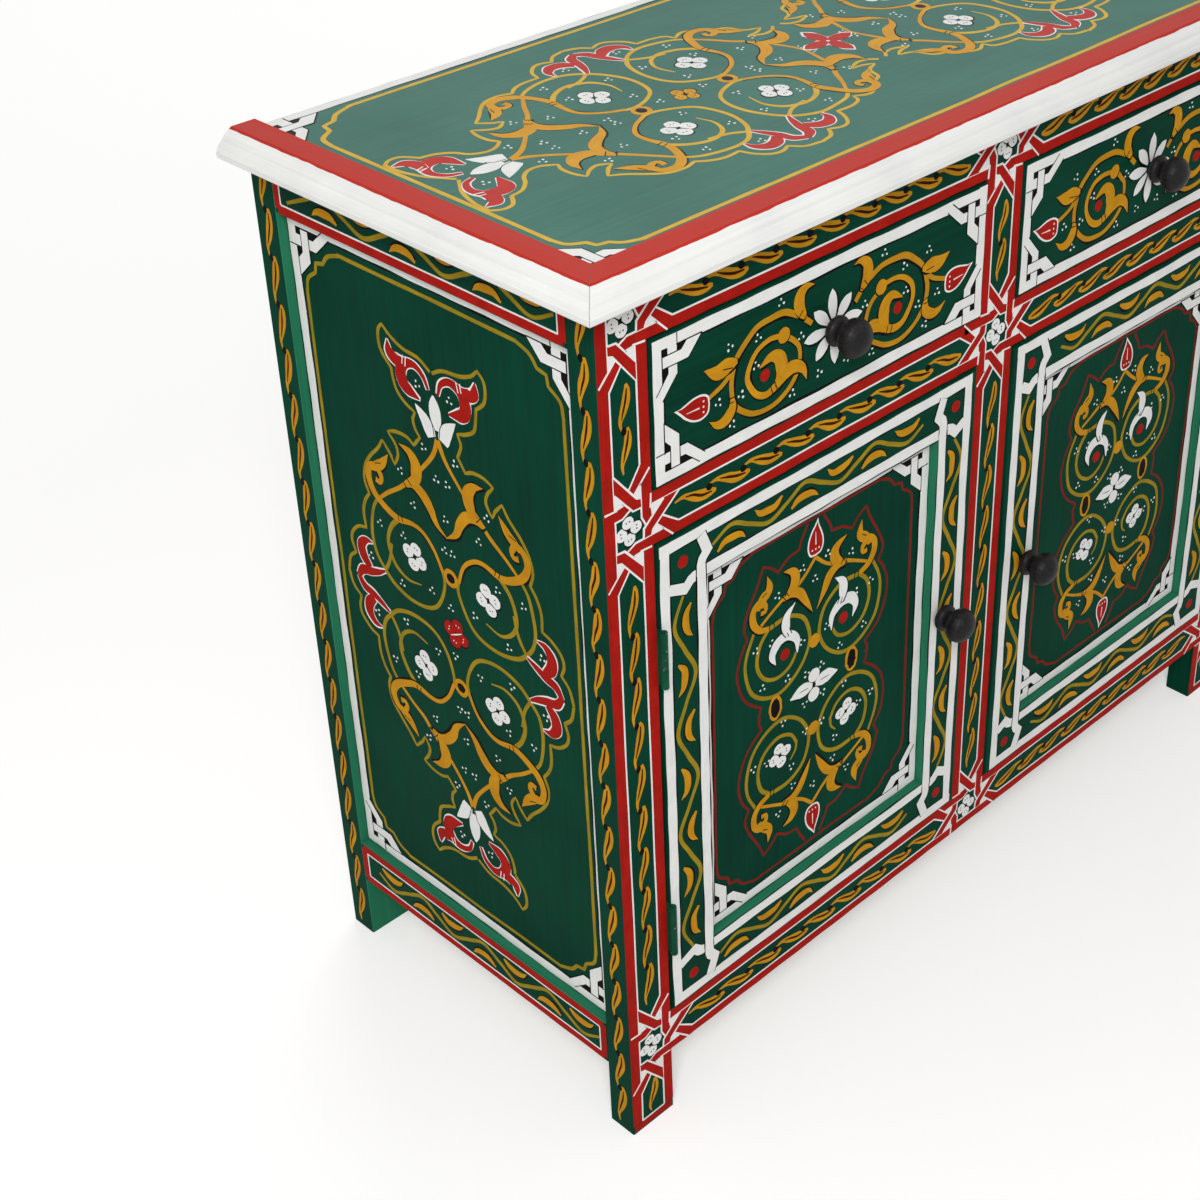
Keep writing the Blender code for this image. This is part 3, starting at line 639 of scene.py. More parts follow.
def arm_straps(pen, neighbour):
    """Straps of one arm of a crossing: x is across the arm, y runs out along it."""
    reach = -NEAR_REACH if neighbour else -EDGE
    near_strap = [(reach, EDGE), *NEAR_BEND, (reach, FIELD)]
    near_lines = [[(-EDGE, EDGE + 0.6), (-11, 23)], [(reach + 9, FIELD), (-6, FIELD), (3, 18)]]
    if neighbour:
        pen.fill(ARM_STRIPE, RED, 2, STEADY, (0, 1))
        pen.strip(ARM_LINE, WHITE_LINE, WHITE, 3)
    for filler in ARM_FILLERS:
        pen.fill(filler, WHITE, 2, STEADY)
    for strap, level in ((FAR_STRAP, 3), (near_strap, 3), (OVER_STRAP, 5)):
        pen.fill(strap, RED, level, STEADY)
    for lines, level in ((FAR_LINES, 4), (near_lines, 4), (OVER_LINES, 6)):
        for line in lines:
            pen.strip(line, WHITE_LINE, WHITE, level)


def crossing(pen, arms):
    """Crossing of bands with a flower in its middle. An arm that is left out has a straight stripe."""
    for index, name in enumerate(ALL_ARMS):
        arm = pen.moved((0, 0), *TURNS[name])
        before, after = (ALL_ARMS[step % 4] in arms for step in (index - 1, index + 1))
        if name in arms:
            arm_straps(arm, before)
        else:
            stripe(arm, (-ARM if before else -EDGE, 0), (ARM if after else EDGE, 0), 1)
    flower(pen, WHITE, 5.8, 7.6, BLACK, 0.08)


# Red beside a stripe, out to the edge of a post
MARGIN = 2.6
MARGIN_INSET = 0.3
MARGIN_START = FIELD + CLEAR
# Lines at the foot of a leg, and how far inside its band the chain ends
FOOT_LINE = 10
FOOT_STRIPE = 7
FOOT_CHAIN = (5, -8)


def red_margin(pen, u, low, high):
    pen.strip([(u, low), (u, high)], MARGIN, RED, 0, 0)


def post_bands(pen, u, heights):
    """Bands up a post or the mullion, between the crossings at these heights."""
    for high, low in zip(heights, heights[1:]):
        band(pen, (u, high - ARM), (u, low + ARM), POST_LEAVES)


def paint_foot(pen, post, top):
    """Band on the leg, closed at its foot."""
    for inner in (1, -1):
        stripe(pen, (post, top), (post, FOOT_LINE), inner)
    pen.rule((post - EDGE, FOOT_LINE / 2), (post + EDGE, FOOT_LINE / 2), FOOT_STRIPE, RED)
    pen.rule((post - FIELD, FOOT_LINE), (post + FIELD, FOOT_LINE), WHITE_LINE, WHITE, 3)
    low, high = inset((FOOT_LINE, top), *FOOT_CHAIN)
    chain(pen, (post, high), (post, low), POST_LEAVES)


def paint_front(whole):
    post, middle = sum(span("post_front_left", X)) / 2, WIDTH / 2
    margin = post - MARGIN / 2 - MARGIN_INSET
    heights = [sum(span("rail_front_" + name, Z)) / 2 for name in ("top", "mid_left", "bottom")]
    top, mid, low = heights
    for half in (whole, whole.mirrored()):
        crossing(half.moved((post, top)), ["right", "down"])
        for level in (mid, low):
            crossing(half.moved((post, level)), ["up", "right", "down"])
        for level in heights:
            band(half, (middle - ARM, level), (post + ARM, level), RAIL_LEAVES)
        post_bands(half, post, heights)
        paint_foot(half, post, low - ARM)
        red_margin(half, post - margin, FOOT_LINE, top + EDGE)
        for u in (post + margin, middle - margin):
            red_margin(half, u, *inset((low, mid), MARGIN_START))
            red_margin(half, u, *inset((mid, top), MARGIN_START))
        red_margin(half, post + margin, FOOT_LINE, low - MARGIN_START)
    post_bands(whole, middle, heights)
    crossing(whole.moved((middle, top)), ["right", "down", "left"])
    crossing(whole.moved((middle, mid)), ALL_ARMS)
    crossing(whole.moved((middle, low)), ["up", "right", "left"])


# Medallion of the sides and the top: one quarter, x across its axis and y along it

WAIST_EDGE = [
    (111, 88), (115, 75), (115, 58), None, (126, 54), (136, 45), (139, 35), (135, 24), None,
    (144, 15), (148, 0)]
SHOULDER_EDGE = [
    (42, 177), (55, 177), (66, 173), None, (58, 162), (56, 153), (62, 144), None, (67, 152), (76, 161),
    None, (84, 150), (96, 138), (105, 125), (108, 110), (104, 97), None, *WAIST_EDGE]
SIDE_EDGE = [
    (53, 238), (52, 229), (48, 218), (39, 211), (27, 206), None, (30, 198), (28, 190), (24, 184), None,
    (33, 173), None, *SHOULDER_EDGE]
TOP_EDGE = [
    (53, 238), (50, 224), (42, 213), (31, 206), (25, 195), (26, 184), (33, 173), None, *SHOULDER_EDGE]
TOP_INNER_EDGE = [
    (61, 174), (54.5, 167), None, (53, 154.5), (59, 141), None, (61, 153), (66, 162), None,
    (72.5, 148), (87, 142), (93, 129.5), (99, 124.5), (108, 107), (102, 92), None, *WAIST_EDGE]
SIDE_FINIAL = [
    (1, 252), (15, 259), (35, 261), (49, 267), (59, 275), None, (65, 268), (66, 258), (63, 248), (53, 238)]
TOP_FINIAL = [
    (1, 244), (10, 250), (22, 258), (42, 264.5), (60, 265.5), None,
    (66, 257), (65, 247), (57, 240), (53, 238)]
EDGE_LINE = 3.4
FINIAL_LINE = 1.1
FINIAL_VEIN = 0.8
TULIP_WIDTH = 15
SIDE_PETAL = [0.75, 1.0, 0.95, 0.75, 0.45, 0.05]
MIDDLE_PETAL = [0.3, 0.8, 1.0, 0.95, 0.7, 0.1]
RING_OUTSIDE = 9.1
RING_INSIDE = (5.3, 4.7)


def finial(pen, edge):
    """Half of the flower at the end of a medallion."""
    pen.stroke(edge, EDGE_LINE, LINE)
    rimmed(pen, [(6, 234), (11, 245), (22, 251), (34, 248), (40, 238), (36, 227), (18, 221)],
           [3, 5.5, 7.5, 11, 15, 11.5, 1.8])
    rimmed(pen, [(34, 249), (44, 248), (52, 252), (54, 263)], [8, 12.5, 11, 0.6], 3)
    for line in ([(31, 255), (33, 246)], [(35, 255), (37, 247)]):
        pen.stroke(line, FINIAL_LINE, WHITE, 5)
    pen.stroke([(7, 191), (13, 203), (25, 215)], times(TULIP_WIDTH, SIDE_PETAL), WHITE, 2)
    pen.stroke([(3, 193), (5, 203), (9, 209)], FINIAL_VEIN, BLACK, 3)
    pen.stroke([(0, 190), (8, 173), (24, 154), (39, 140), (52, 128)], [5.5, 4, 3.4, 4], OCHRE)
    pen.dots((20, 234), (20, 176))


def tulip(pen):
    pen.stroke([(0, 199), (0, 215), (0, 231)], times(TULIP_WIDTH, MIDDLE_PETAL), WHITE, 3)


def medallion_quarter(pen, edge):
    """Scrolls and leaves of one quarter, inside its edge line."""
    pen.stroke(edge, EDGE_LINE, LINE)
    pen.stroke([(52, 127), (60, 120), (75, 110), (90, 98)], [4.5, 4, 3.2], OCHRE)
    pen.leaf([(42, 130), (36, 138), (33, 152), (40, 163), (54, 167)], 13.5)
    pen.leaf([(49, 128), (40, 132), (29, 129), (19, 119), (12, 106), (-1, 96)], 11)
    straps(pen, (44, 133), (50, 127), 8)
    pen.lined([(10, 58), (19, 76), (32, 88), (46, 91), (65, 88), (80, 92), (95, 101), (102, 113), (99, 125),
               (90, 129), (84, 122), (86, 116), (92, 117)],
              [4, 3.6, 4.2, 5, 6.5, 7.5, 8.5, 7.5, 6.5, 6], OCHRE, 2, 0.8)
    pen.leaf([(98, 125), (88, 130), (79, 137), (70, 149)], 10.5)
    pen.vein([(90, 133), (82, 136)])
    pen.stroke([(66, 87), (77, 75), (83, 60), (82, 47), (75, 35), (60, 28), (42, 31)], [5, 4.4, 4, 1.2], LINE)
    pen.stroke([(92, 97), (100, 85), (105, 67), (106, 50), (102, 35), (93, 24), (80, 14), (60, 8), (40, 9),
                (25, 16), (15, 30), (9, 47), (10, 59)], [3.4, 4, 4.2, 3.8, 3.6], LINE)
    pen.stroke([(80, 57), (84, 38), (93, 23)], 3.6, LINE)
    straps(pen, (60, 90), (65, 89), 6)
    flower(pen.moved((48, 57)), WHITE)
    rimmed(pen, [(93, 22), (103, 17), (115, 12), (127, 9), (134, 0)], [2.5, 6.5, 8.5, 9.5, 6])
    rimmed(pen, [(107, 45), (117, 44), (124, 36), (123, 25), (115, 16)], [0.8, 8, 12, 12, 8])
    pen.dots((7, 151), (55, 140), (42, 112), (5, 83), (61, 73), (93, 72), (28, 32), (70, 20), (112, 30))


def ring_and_dots(pen, height):
    """On the axis of a half medallion: the ring that ties two scrolls, dark inside, and dots."""
    pen.dot((0, height), RING_OUTSIDE, OCHRE, 3)
    pen.dot((0, height), RING_INSIDE[0], BLACK, 4, RING_INSIDE[1])
    pen.dots((0, 115), (4, 25))


# Sides

SIDE_CHAIN = 15.0
SIDE_CHAIN_LOW = 8
SIDE_CHAIN_DROP = 4
SIDE_CHAIN_WIDTH = 10.8
SIDE_CENTRE = 450
SIDE_RING = 57
RAIL_STRIPE = 8.0
RAIL_LINE = 1.5
RAIL_LINE_INSET = 0.6
RAIL_VINE = (95, 9.5, (10.5, 3.9))
# Where the vine of a side rail starts and ends, from the ends of its field, and whether it skips a leaf
RAIL_VINES = {"top": (15.5, 3.5, 1), "bottom": (-16, 1, 0)}


def ruled_box(pen, us, vs, width, colour, level):
    for v in vs:
        pen.rule((us[0], v), (us[1], v), width, colour, level, STEADY)
    for u in us:
        pen.rule((u, vs[0]), (u, vs[1]), width, colour, level, STEADY)


def paint_side_rail(pen, us, vs, start, end, skip):
    """Red frame with a vine inside, on a rail of the side."""
    us, vs = inset(us, RAIL_STRIPE / 2), inset(vs, RAIL_STRIPE / 2 + CLEAR)
    ruled_box(pen, us, vs, RAIL_STRIPE, RED, 1)
    us, vs = (inset(ends, RAIL_STRIPE / 2 + RAIL_LINE_INSET) for ends in (us, vs))
    ruled_box(pen, us, vs, RAIL_LINE, WHITE, 3)
    level = sum(vs) / 2
    vine(pen, (us[1] + start, level), (us[0] + end, level), *RAIL_VINE, skip=skip)


def paint_side(wood, panel):
    rails = {name: span(f"rail_side_{name}_left", Z) for name in RAIL_VINES}
    opening_y = (span("post_front_left", Y)[1], span("post_back_left", Y)[0])
    opening_z = (rails["bottom"][1], rails["top"][0])
    for name, heights in rails.items():
        paint_side_rail(wood, opening_y, heights, *RAIL_VINES[name])
    high = rails["top"][1] - SIDE_CHAIN_DROP
    for u in (SIDE_CHAIN, opening_y[1] + SIDE_CHAIN):
        chain(wood, (u, high), (u, SIDE_CHAIN_LOW), POST_LEAVES, -1, SIDE_CHAIN_WIDTH)
    us, vs = inset(opening_y, CLEAR), inset(opening_z, CLEAR)
    knotted_border(panel, us, vs)
    ogee_frame(panel, us, vs, SIDE_OGEE, LINE)
    centre = panel.moved((sum(us) / 2, SIDE_CENTRE))
    for a in (1, -1):
        for b in (1, -1):
            medallion_quarter(centre.flipped(a, b), SIDE_EDGE)
            finial(centre.flipped(a, b), SIDE_FINIAL)
    for b in (1, -1):
        tulip(centre.flipped(1, b))
        ring_and_dots(centre.flipped(1, b), SIDE_RING)
    flower(centre, RED, 7.2, 8.8, WHITE)


# Top

TOP_CENTRE = (293, 202)
TOP_SPREAD = 1.03
TOP_RING = 50.5
TOP_STRIP_DROP = 5.5
# Knots, from the lip's inner edge and the back edge
BACK_KNOT = (-6, -2)
FRONT_KNOT = (-8.5, -9)
# White and red petals of the middle flower: start, reach, width, colour and level
TOP_PETALS = ((0.5, 32, 18, WHITE, 2), (1.5, 30, 15.5, RED, 3))
TOP_PETAL_MIDDLE = 16


def half_top(pen):
    """Medallion of one half of the top, its axis along the board."""
    centre = pen.moved(TOP_CENTRE, (0, TOP_SPREAD), (-1, 0))
    for a in (1, -1):
        outer, inner = centre.flipped(a), centre.flipped(a, -1)
        medallion_quarter(outer, TOP_EDGE)
        finial(outer, TOP_FINIAL)
        medallion_quarter(inner, TOP_INNER_EDGE)
        inner.stroke([(0, 147), (14, 144), (32, 138), (46, 131)], [3, 4, 4.4], OCHRE)
    tulip(centre)
    for b in (1, -1):
        ring_and_dots(centre.flipped(1, b), TOP_RING)
    flower(centre, OCHRE, 5.6, 7.6)


def paint_top(whole):
    back, lip = span("top_board", Y)[1], span("top_moulding_left", X)[1]
    field = (lip, WIDTH - lip)
    edge = straight(*((u, back - TOP_STRIP_DROP) for u in inset(field, CLEAR)))
    whole.stroke([(a, b - STRIP_SHADE) for a, b in edge], STRIP, BLACK, 0)
    whole.stroke(edge, STRIP, WHITE, 2)
    ogee_frame(whole, field, (lip, back), TOP_OGEE, LINE)
    for half in (whole, whole.mirrored()):
        knot(half.moved((lip + BACK_KNOT[0], back + BACK_KNOT[1]), (1, 0), (0, -1)))
        knot(half.moved((lip + FRONT_KNOT[0], lip + FRONT_KNOT[1]), (0, 1), (1, 0)))
        half_top(half)
    centre = whole.moved((WIDTH / 2, TOP_CENTRE[1]))
    for step in range(4):
        angle = step * math.pi / 2
        x, y = (math.cos(angle), math.sin(angle)), (-math.sin(angle), math.cos(angle))
        petal = centre.moved((0, 0), x, y)
        for start, reach, width, colour, level in TOP_PETALS:
            spine = [(0, start), (0, TOP_PETAL_MIDDLE), (0, reach)]
            petal.stroke(spine, times(width, PETAL), colour, level)


# Drawers: one half, x out from the middle and y up from it

DRAWER_INSET_X = 0.6
DRAWER_INSET_Z = 1.4
DRAWER_KNOT = 0.94
DRAWER_ASIDE = 3
DAISY_TURN = 0.05
DAISY_START = 6
DAISY_MIDDLE = 0.6
DAISY_REACH = (34, 31)
DAISY_WIDTH = 11
DAISY_SHADE = 1.5
DRAWER_SCROLL = [
    (-25.5, 12.7), (-35.5, 22), (-44.5, 27.7), (-58, 33.5), (-73, 34.3), (-88, 32), (-101, 24), (-111, 14),
    (-115.5, 2.7), (-117, -7), (-116, -19), (-112, -26.5), (-104.5, -34), (-93, -40.7), (-79.5, -43),
    (-66, -41.5), (-54.5, -35.7), (-46, -29), (-41, -21), (-39.5, -12.3), (-41, -2.3), (-45.5, 4.3),
    (-51, 9.3), (-58, 14.3)]
DRAWER_SPIRAL = [
    (-58, 14.3), (-65.5, 16), (-76, 16.3), (-88, 12.7), (-96, 3.5), (-98.7, -7.3), (-96, -17.3), (-88, -26.5),
    (-78, -30), (-68, -27.3), (-62, -24.5)]
CURLED = [0.45, 0.8, 1.0, 0.95, 0.75, 0.45, 0.1]


def drawer_half(pen):
    """Scrolls, leaves and bud of one half of a drawer front."""
    pen.lined(DRAWER_SCROLL, [5, 5.4, 5.6, 5, 4.8, 4.8, 4.6, 4.4, 4.6], SCROLL, 1)
    pen.lined([(-113.7, 9), (-124.5, -0.7), (-143, -8)], [5, 4.4, 4], SCROLL, 1)
    pen.lined(DRAWER_SPIRAL, [4.4, 4.6, 4.8, 5.2, 6.4, 7.4], OCHRE, 2)
    pen.dot((-57.5, 13.8), 7.4, BLACK, 2)
    pen.dot((-58, 14.3), 6.8, OCHRE, 3)
    pen.leaf([(-66, -27), (-61.5, -16), (-63, -4), (-72, 1.8), (-85.5, -4)], 13, OCHRE, 4, CURLED)
    pen.leaf([(-66, -28), (-57, -20), (-46, -17.5), (-36, -23), (-31, -35)], 12.5, OCHRE, 4)
    pen.dot((-63.5, -23), 4.4, OCHRE, 4)
    straps(pen, (-72, -28), (-67, -26.5), 9)
    pen.dot((-79.5, -12.3), 5.3, RED, 3)
    pen.leaf([(-33, 20), (-40, 31), (-39, 42), (-32, 47), (-23, 46)], 11.5, OCHRE, 3)
    straps(pen, (-39, 25), (-34, 20.5), 8)
    pen.leaf([(-110, 12), (-121, 12), (-132, 11), (-146, 17)], 14, OCHRE, 3)
    pen.vein([(-115, 9), (-126, 10)])
    pen.leaf([(-115.5, -17), (-117, -27), (-124, -34), (-133, -34), (-142, -28)], 10.5, OCHRE, 3)
    straps(pen, (-116.5, -17), (-117, -21), 8)
    bud(pen.moved((-142, -12.5), (0.02, 1), (-1, 0.02)), 33, 18.5, 4)
    pen.dots((-118, 27), (-87, 23), (-61, 43.5), (-38, 6), (-89.5, 0), (-131, -16), (-106, -19), (-116, -41),
             (-48, -41), (-16.5, -35))


def paint_drawer(pen):
    us = inset(span("drawer_left_front", X), DRAWER_INSET_X)
    vs = inset(span("drawer_left_front", Z), DRAWER_INSET_Z)
    knotted_border(pen, us, vs, DRAWER_KNOT)
    centre = pen.moved((sum(us) / 2 + DRAWER_ASIDE, sum(vs) / 2))
    for side in (1, -1):
        drawer_half(centre.flipped(side))
    for step in range(8):
        angle = step * math.pi / 4 + DAISY_TURN
        way = Vector((math.cos(angle), math.sin(angle)))
        reach = DAISY_REACH[step % 2]
        spine = [way * DAISY_START, way * reach * DAISY_MIDDLE, way * reach]
        centre.leaf(spine, DAISY_WIDTH, WHITE, 4, POINTED, DAISY_SHADE)


# Doors

DOOR_INSET_X = (0.3, 6)
DOOR_INSET_Z = 1.5
CROSSED_SHADE = 2
KINKED_SHADE = 2.2
STRIP_ASIDE = -STRIP / 2 - CLEAR
CORNER_DOT = 5.6
# Vines: period, swing and leaves
STILE_VINE_ENDS = 12
STILE_VINE = (104, 11, (8.8, 1.0))
DOOR_RAIL_VINE_ENDS = (13, 28)
DOOR_RAIL_VINE = (88, 8.8, (9.8, 2.9))
DOOR_KNOT = 0.92
DOOR_CENTRE = (243.5, 370)
DOOR_EDGE = [
    (10, 173), (18, 160), (21, 152), None, (34, 150), (47, 142), None, (55, 150), (65, 156), None,
    (72, 140), (84, 120), (89, 104), (84, 92), None, (92, 80), (97, 62), (94, 42), (84, 25), (68, 12), None,
    (71, 4), (70, -2)]
DOOR_EDGE_LINE = 2.5
CURL = [0.1, 0.6, 0.85, 0.95, 1.0, 0.7, 0.05]
DOOR_PETAL = [0.3, 0.8, 1.0, 0.9, 0.5, 0.1]


def door_spans():
    """Spans of a door and of the opening for its panel."""
    hinge, lock = (span("door_left_stile_" + edge, X) for edge in ("hinge", "lock"))
    heights = (span("door_left_rail_bottom", Z)[1], span("door_left_rail_top", Z)[0])
    return ((hinge[0], lock[1]), span("door_left_stile_hinge", Z)), ((hinge[1], lock[0]), heights)


def between(outer, strips):
    """Middles of the fields between a border and the strips inside it, at both ends."""
    return [(a + b) / 2 for a, b in zip(inset(outer, STRIP), inset(strips, -STRIP / 2))]


def paint_door_frame(pen):
    (us, vs), opening = door_spans()
    us, vs = inset(us, *DOOR_INSET_X), inset(vs, DOOR_INSET_Z)
    border(pen, us, vs)
    strips_u, strips_v = (inset(ends, STRIP_ASIDE) for ends in opening)
    crossing_strips(pen, strips_u, strips_v, us, vs)
    corner_u, corner_v = between(us, strips_u), between(vs, strips_v)
    for u in corner_u:
        for v in corner_v:
            pen.dot((u, v), CORNER_DOT, RED, 2)
    low, high = inset(strips_v, STILE_VINE_ENDS)
    period, swing, leaf_at = STILE_VINE
    for u, side in zip(corner_u, (-1, 1)):
        vine(pen, (u, high), (u, low), period, swing * side, leaf_at, False)
    left, right = inset(strips_u, *DOOR_RAIL_VINE_ENDS)
    for v in corner_v:
        vine(pen, (left, v), (right, v), *DOOR_RAIL_VINE)


def crossing_strips(pen, us, vs, outer_u, outer_v):
    """Strips round the panel that cross and run on, kinked, to the outer border."""
    for v, end_v, sign in zip(vs, outer_v, (-1, 1)):
        for u, end_u, side in zip(us, outer_u, (-1, 1)):
            reach_u, reach_v = (abs(size) - STRIP + CLEAR for size in (u - end_u, v - end_v))
            kinked(pen.moved((u, v), (side, 0), (0, -sign)), reach_u, 2)
            kinked(pen.moved((u, v), (0, sign), (-side, 0)), reach_v, 4)
    lines = [((us[0], v), (us[1], v), 0, 2) for v in vs]
    lines += [((u, vs[0]), (u, vs[1]), 3, 4) for u in us]
    for start, end, under, level in lines:
        pen.rule(start, end, STRIP + CROSSED_SHADE, BLACK, under)
        pen.rule(start, end, STRIP, WHITE, level)


def kinked(pen, reach, level):
    """End of a strip from the crossing to the border: x runs along it, the kink goes along y."""
    line = [(-2, 0), (8, 0), (12, 1.5), (18, 7), (reach, 0.5)]
    pen.strip(line, STRIP + KINKED_SHADE, BLACK, level - 1)
    pen.strip(line, STRIP, WHITE, level)


def door_quarter(pen):
    """Scrolls and leaves of one quarter of the door's medallion."""
    pen.stroke(DOOR_EDGE, DOOR_EDGE_LINE, RED_LINE)
    pen.stroke([(0, 135), (14, 122), (29, 114), (39, 112), (55, 105), (68, 98)],
               [3.6, 3.4, 4.2, 3.2, 3], OCHRE)
    pen.leaf([(36, 112), (27, 119), (25, 128), (30, 135), (40, 139)], 11.5)
    pen.leaf([(40, 110), (30, 112), (20, 108), (11, 95), (3, 80)], 9.5)
    straps(pen, (35, 114), (39, 111), 7)
    pen.lined([(57, 90), (69, 94), (77, 104), (77, 116), (69, 122), (63, 117), (63, 111), (68, 111)],
              [5, 6.5, 7.5, 7, 6.5, 6], OCHRE, 2, 0.8)
    pen.leaf([(74, 118), (65, 124), (58, 131), (60, 145)], 10.5, shade=0.6)
    pen.dot((70, 119), 4.2, OCHRE, 2)
    pen.vein([(66, 126), (61, 129)])
    pen.stroke([(76, 95), (85, 76), (87, 58), (81, 36), (67, 22), (49, 15), (33, 18), (17, 30), (8, 45),
                (6, 58), (11, 75), (21, 85), (36, 91), (58, 90)], [3.2, 3.8, 4, 3.8, 4, 4.6], LINE)
    pen.stroke([(58, 90), (69, 77), (72, 58), (64, 41), (47, 33), (31, 38), (22, 51)],
               [4.4, 4, 3.8, 3.4], LINE)
    straps(pen, (52, 91), (57, 90), 6)


def crescent(pen):
    """White curled leaf round a red dot."""
    pen.leaf([(22, 47), (23, 62), (34, 71), (47, 70), (54, 60), (50, 48)], 11, WHITE, 3, CURL, 0.8)
    pen.leaf([(35, 71), (37, 84), (35, 93), (26, 101)], 10.5, WHITE, 4, shade=0.8)
    straps(pen, (31, 75), (35, 73), 7)
    pen.dot((38, 53), 5.8, RED, 3)


def door_medallion(centre):
    """Four quarters, and between them rings, buds and a white flower."""
    for a in (1, -1):
        upper, lower = centre.flipped(a), centre.flipped(a, -1)
        door_quarter(upper)
        crescent(upper)
        door_quarter(lower)
        lower.stroke([(22, 51), (24, 60), (30, 67)], [3.4, 1.2], LINE)
        flower(lower.moved((44, 54)), WHITE, 6.3, 8.0)
        upper.dots((16, 131), (47, 118), (74, 75), (54, 73), (16, 55), (34, 25), (66, 32), (10, 17))
        lower.dots((12, 15), (40, 20), (11, 46), (61, 53), (78, 50), (29, 75), (27, 98), (46, 120))
        centre.fill(circle((50 * a, 2), 8.4, 13.5), OCHRE, 3)
        centre.fill(circle((50 * a, 2), 5.6, 10.5), BLACK, 4)
    for b in (1, -1):
        half = centre.flipped(1, b)
        half.dot((0, 48), 7, OCHRE, 3)
        bud(half.moved((0, 138)), 32, 17)
        half.dots((0, 113))
        half.dot((0, 10.5), 7.2, WHITE, 3)
    for a in (1, -1):
        centre.leaf([(2 * a, 0), (16 * a, 1), (31 * a, 0)], 15, WHITE, 3, DOOR_PETAL)
        centre.stroke([(8 * a, 0), (20 * a, 1)], [0.6, 0.9, 0.3], BLACK, 4)
    centre.dot((0, 0), 2.2, BLACK, 5)


def paint_door_panel(pen):
    us, vs = door_spans()[1]
    knotted_border(pen, inset(us, CLEAR), inset(vs, CLEAR), DOOR_KNOT)
    ogee_frame(pen, us, vs, DOOR_OGEE, RED_LINE)
    door_medallion(pen.moved(DOOR_CENTRE))


# Paint on every face

RIGHT, BACK, UP = (1, 0, 0), (0, 1, 0), (0, 0, 1)
FORWARD = (0, -1, 0)
TOP_SHADE = 0.55


def painted_faces():
    faces = []

    def pen_on(name, body, origin, *ways):
        faces.append(Face(name, body, origin, *ways))
        return Pen(faces[-1])

    face_y, panel_y = (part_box(node)[0].y for node in ("drawer_left_front", "door_left_panel"))
    panel_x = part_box("side_panel_left")[0].x
    paint_front(pen_on("front", "carcass", (LEFT, FRONT, 0), RIGHT, UP, FORWARD))
    for hand, side in SIDES.items():
        drawer, door = "drawer_" + hand, "door_" + hand
        for paint, name, body, depth in (
                (paint_drawer, drawer, drawer, face_y), (paint_door_frame, door, door, face_y),
                (paint_door_panel, door + "_panel", door, panel_y)):
            pen = pen_on(name, body, (LEFT, depth, 0), RIGHT, UP, FORWARD)
            paint(pen if side > 0 else pen.mirrored())
        paint_side(*(pen_on(f"side_{hand}{part}", "carcass", (x * side, FRONT, 0), BACK, UP, (-side, 0, 0))
                     for part, x in (("", LEFT), ("_panel", panel_x))))
    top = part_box("top_board")[1].z
    paint_top(pen_on("top", "carcass", (LEFT, FRONT, top), RIGHT, BACK, UP, TOP_SHADE))
    return faces


def new_object(name, data):
    item = bpy.data.objects.new(name, data)
    bpy.context.scene.collection.objects.link(item)
    return item


def coat_object(name, coat, body, colour):
    mesh = bpy.data.meshes.new(name)
    mesh.from_pydata(coat.places, [], coat.faces)
    attribute = mesh.attributes.new("brush", "FLOAT_VECTOR", "POINT")
    attribute.data.foreach_set("vector", [value for place in coat.brush for value in place])
    # Coats on the top take the lighter copies of the paints, which are painted light from above
    on_top = name.startswith("paint_top")
    mesh.materials.append((TOP_COATS_PAINTED_LIGHT if on_top else COATS)[colour])
    item = new_object(name, mesh)
    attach(item, body)


# Materials

# Range of roughness, specular level, and strength and depth in metres of the marks in a surface
FRAME_FINISH = ((0.43, 0.59), 0.015, (0.35, 0.0004))
COAT_FINISH = ((0.43, 0.59), 0.02, (0.35, 0.0004))
TOP_FINISH = ((0.35, 0.51), 0.05, (0.14, 0.0004))
MOULDING_FINISH = ((0.35, 0.51), 0.05, (0.16, 0.0004))
PINE_FINISH = ((0.55, 0.7), 0.5, (0.3, 0.0003))
PLY_FINISH = ((0.57, 0.72), 0.5, (0.3, 0.0003))
KNOB_FINISH = ((0.36, 0.52), 0.14, (0.25, 0.0003))
HINGE_FINISH = ((0.32, 0.5), 0.06, (0.3, 0.0003))
# Grain, as its scale along and across a piece and its detail, and blotches, as their scale and detail
BOARD_NOISE = ((7, 190, 6), (9.0, 3))
MOULDING_NOISE = ((6, 240, 6), (14.0, 3))
KNOB_NOISE = ((60, 500, 5), (90.0, 3))
HINGE_NOISE = ((30, 160, 5), (240.0, 3))
WOOD_RINGS = (3, 60, 5)
WOOD_FIBRES = (20, 900, 4)
MOULDING_WOBBLE = (38.0, 2)
COAT_BLOTCHES = (55.0, 3)
COAT_STREAKS = ((0.05, 0.9, 1.0), 5)
NOISE_ROUGHNESS = 0.55
# Ranges of noise that become a whole range, and shares of two noises in one
WHOLE = (0.0, 1.0)
UNEVEN = (0.3, 0.7)
PAINT_RANGE = (0.34, 0.66)
PAINT_SHARES = (0.55, 0.45)
STAIN_RANGE = (0.35, 0.7)
RUB_RANGE = (0.58, 0.75)
RUB_SHARE = (0.0, 0.4)
HINGE_RANGE = (0.35, 0.65)
CHIP_RANGE = (0.66, 0.70)
RING_COUNT = 6.0
RING_HALF = 0.5
WOOD_SHARES = (1.2, 0.5)
LEAST_COSINE = 0.7
# Moulding, in metres: what counts as its flat top, how far the red laps over it and how far it wobbles
FLAT = 0.0002
RED_LAP = 0.0022
RED_WOBBLE = (-0.0005, 0.0005)


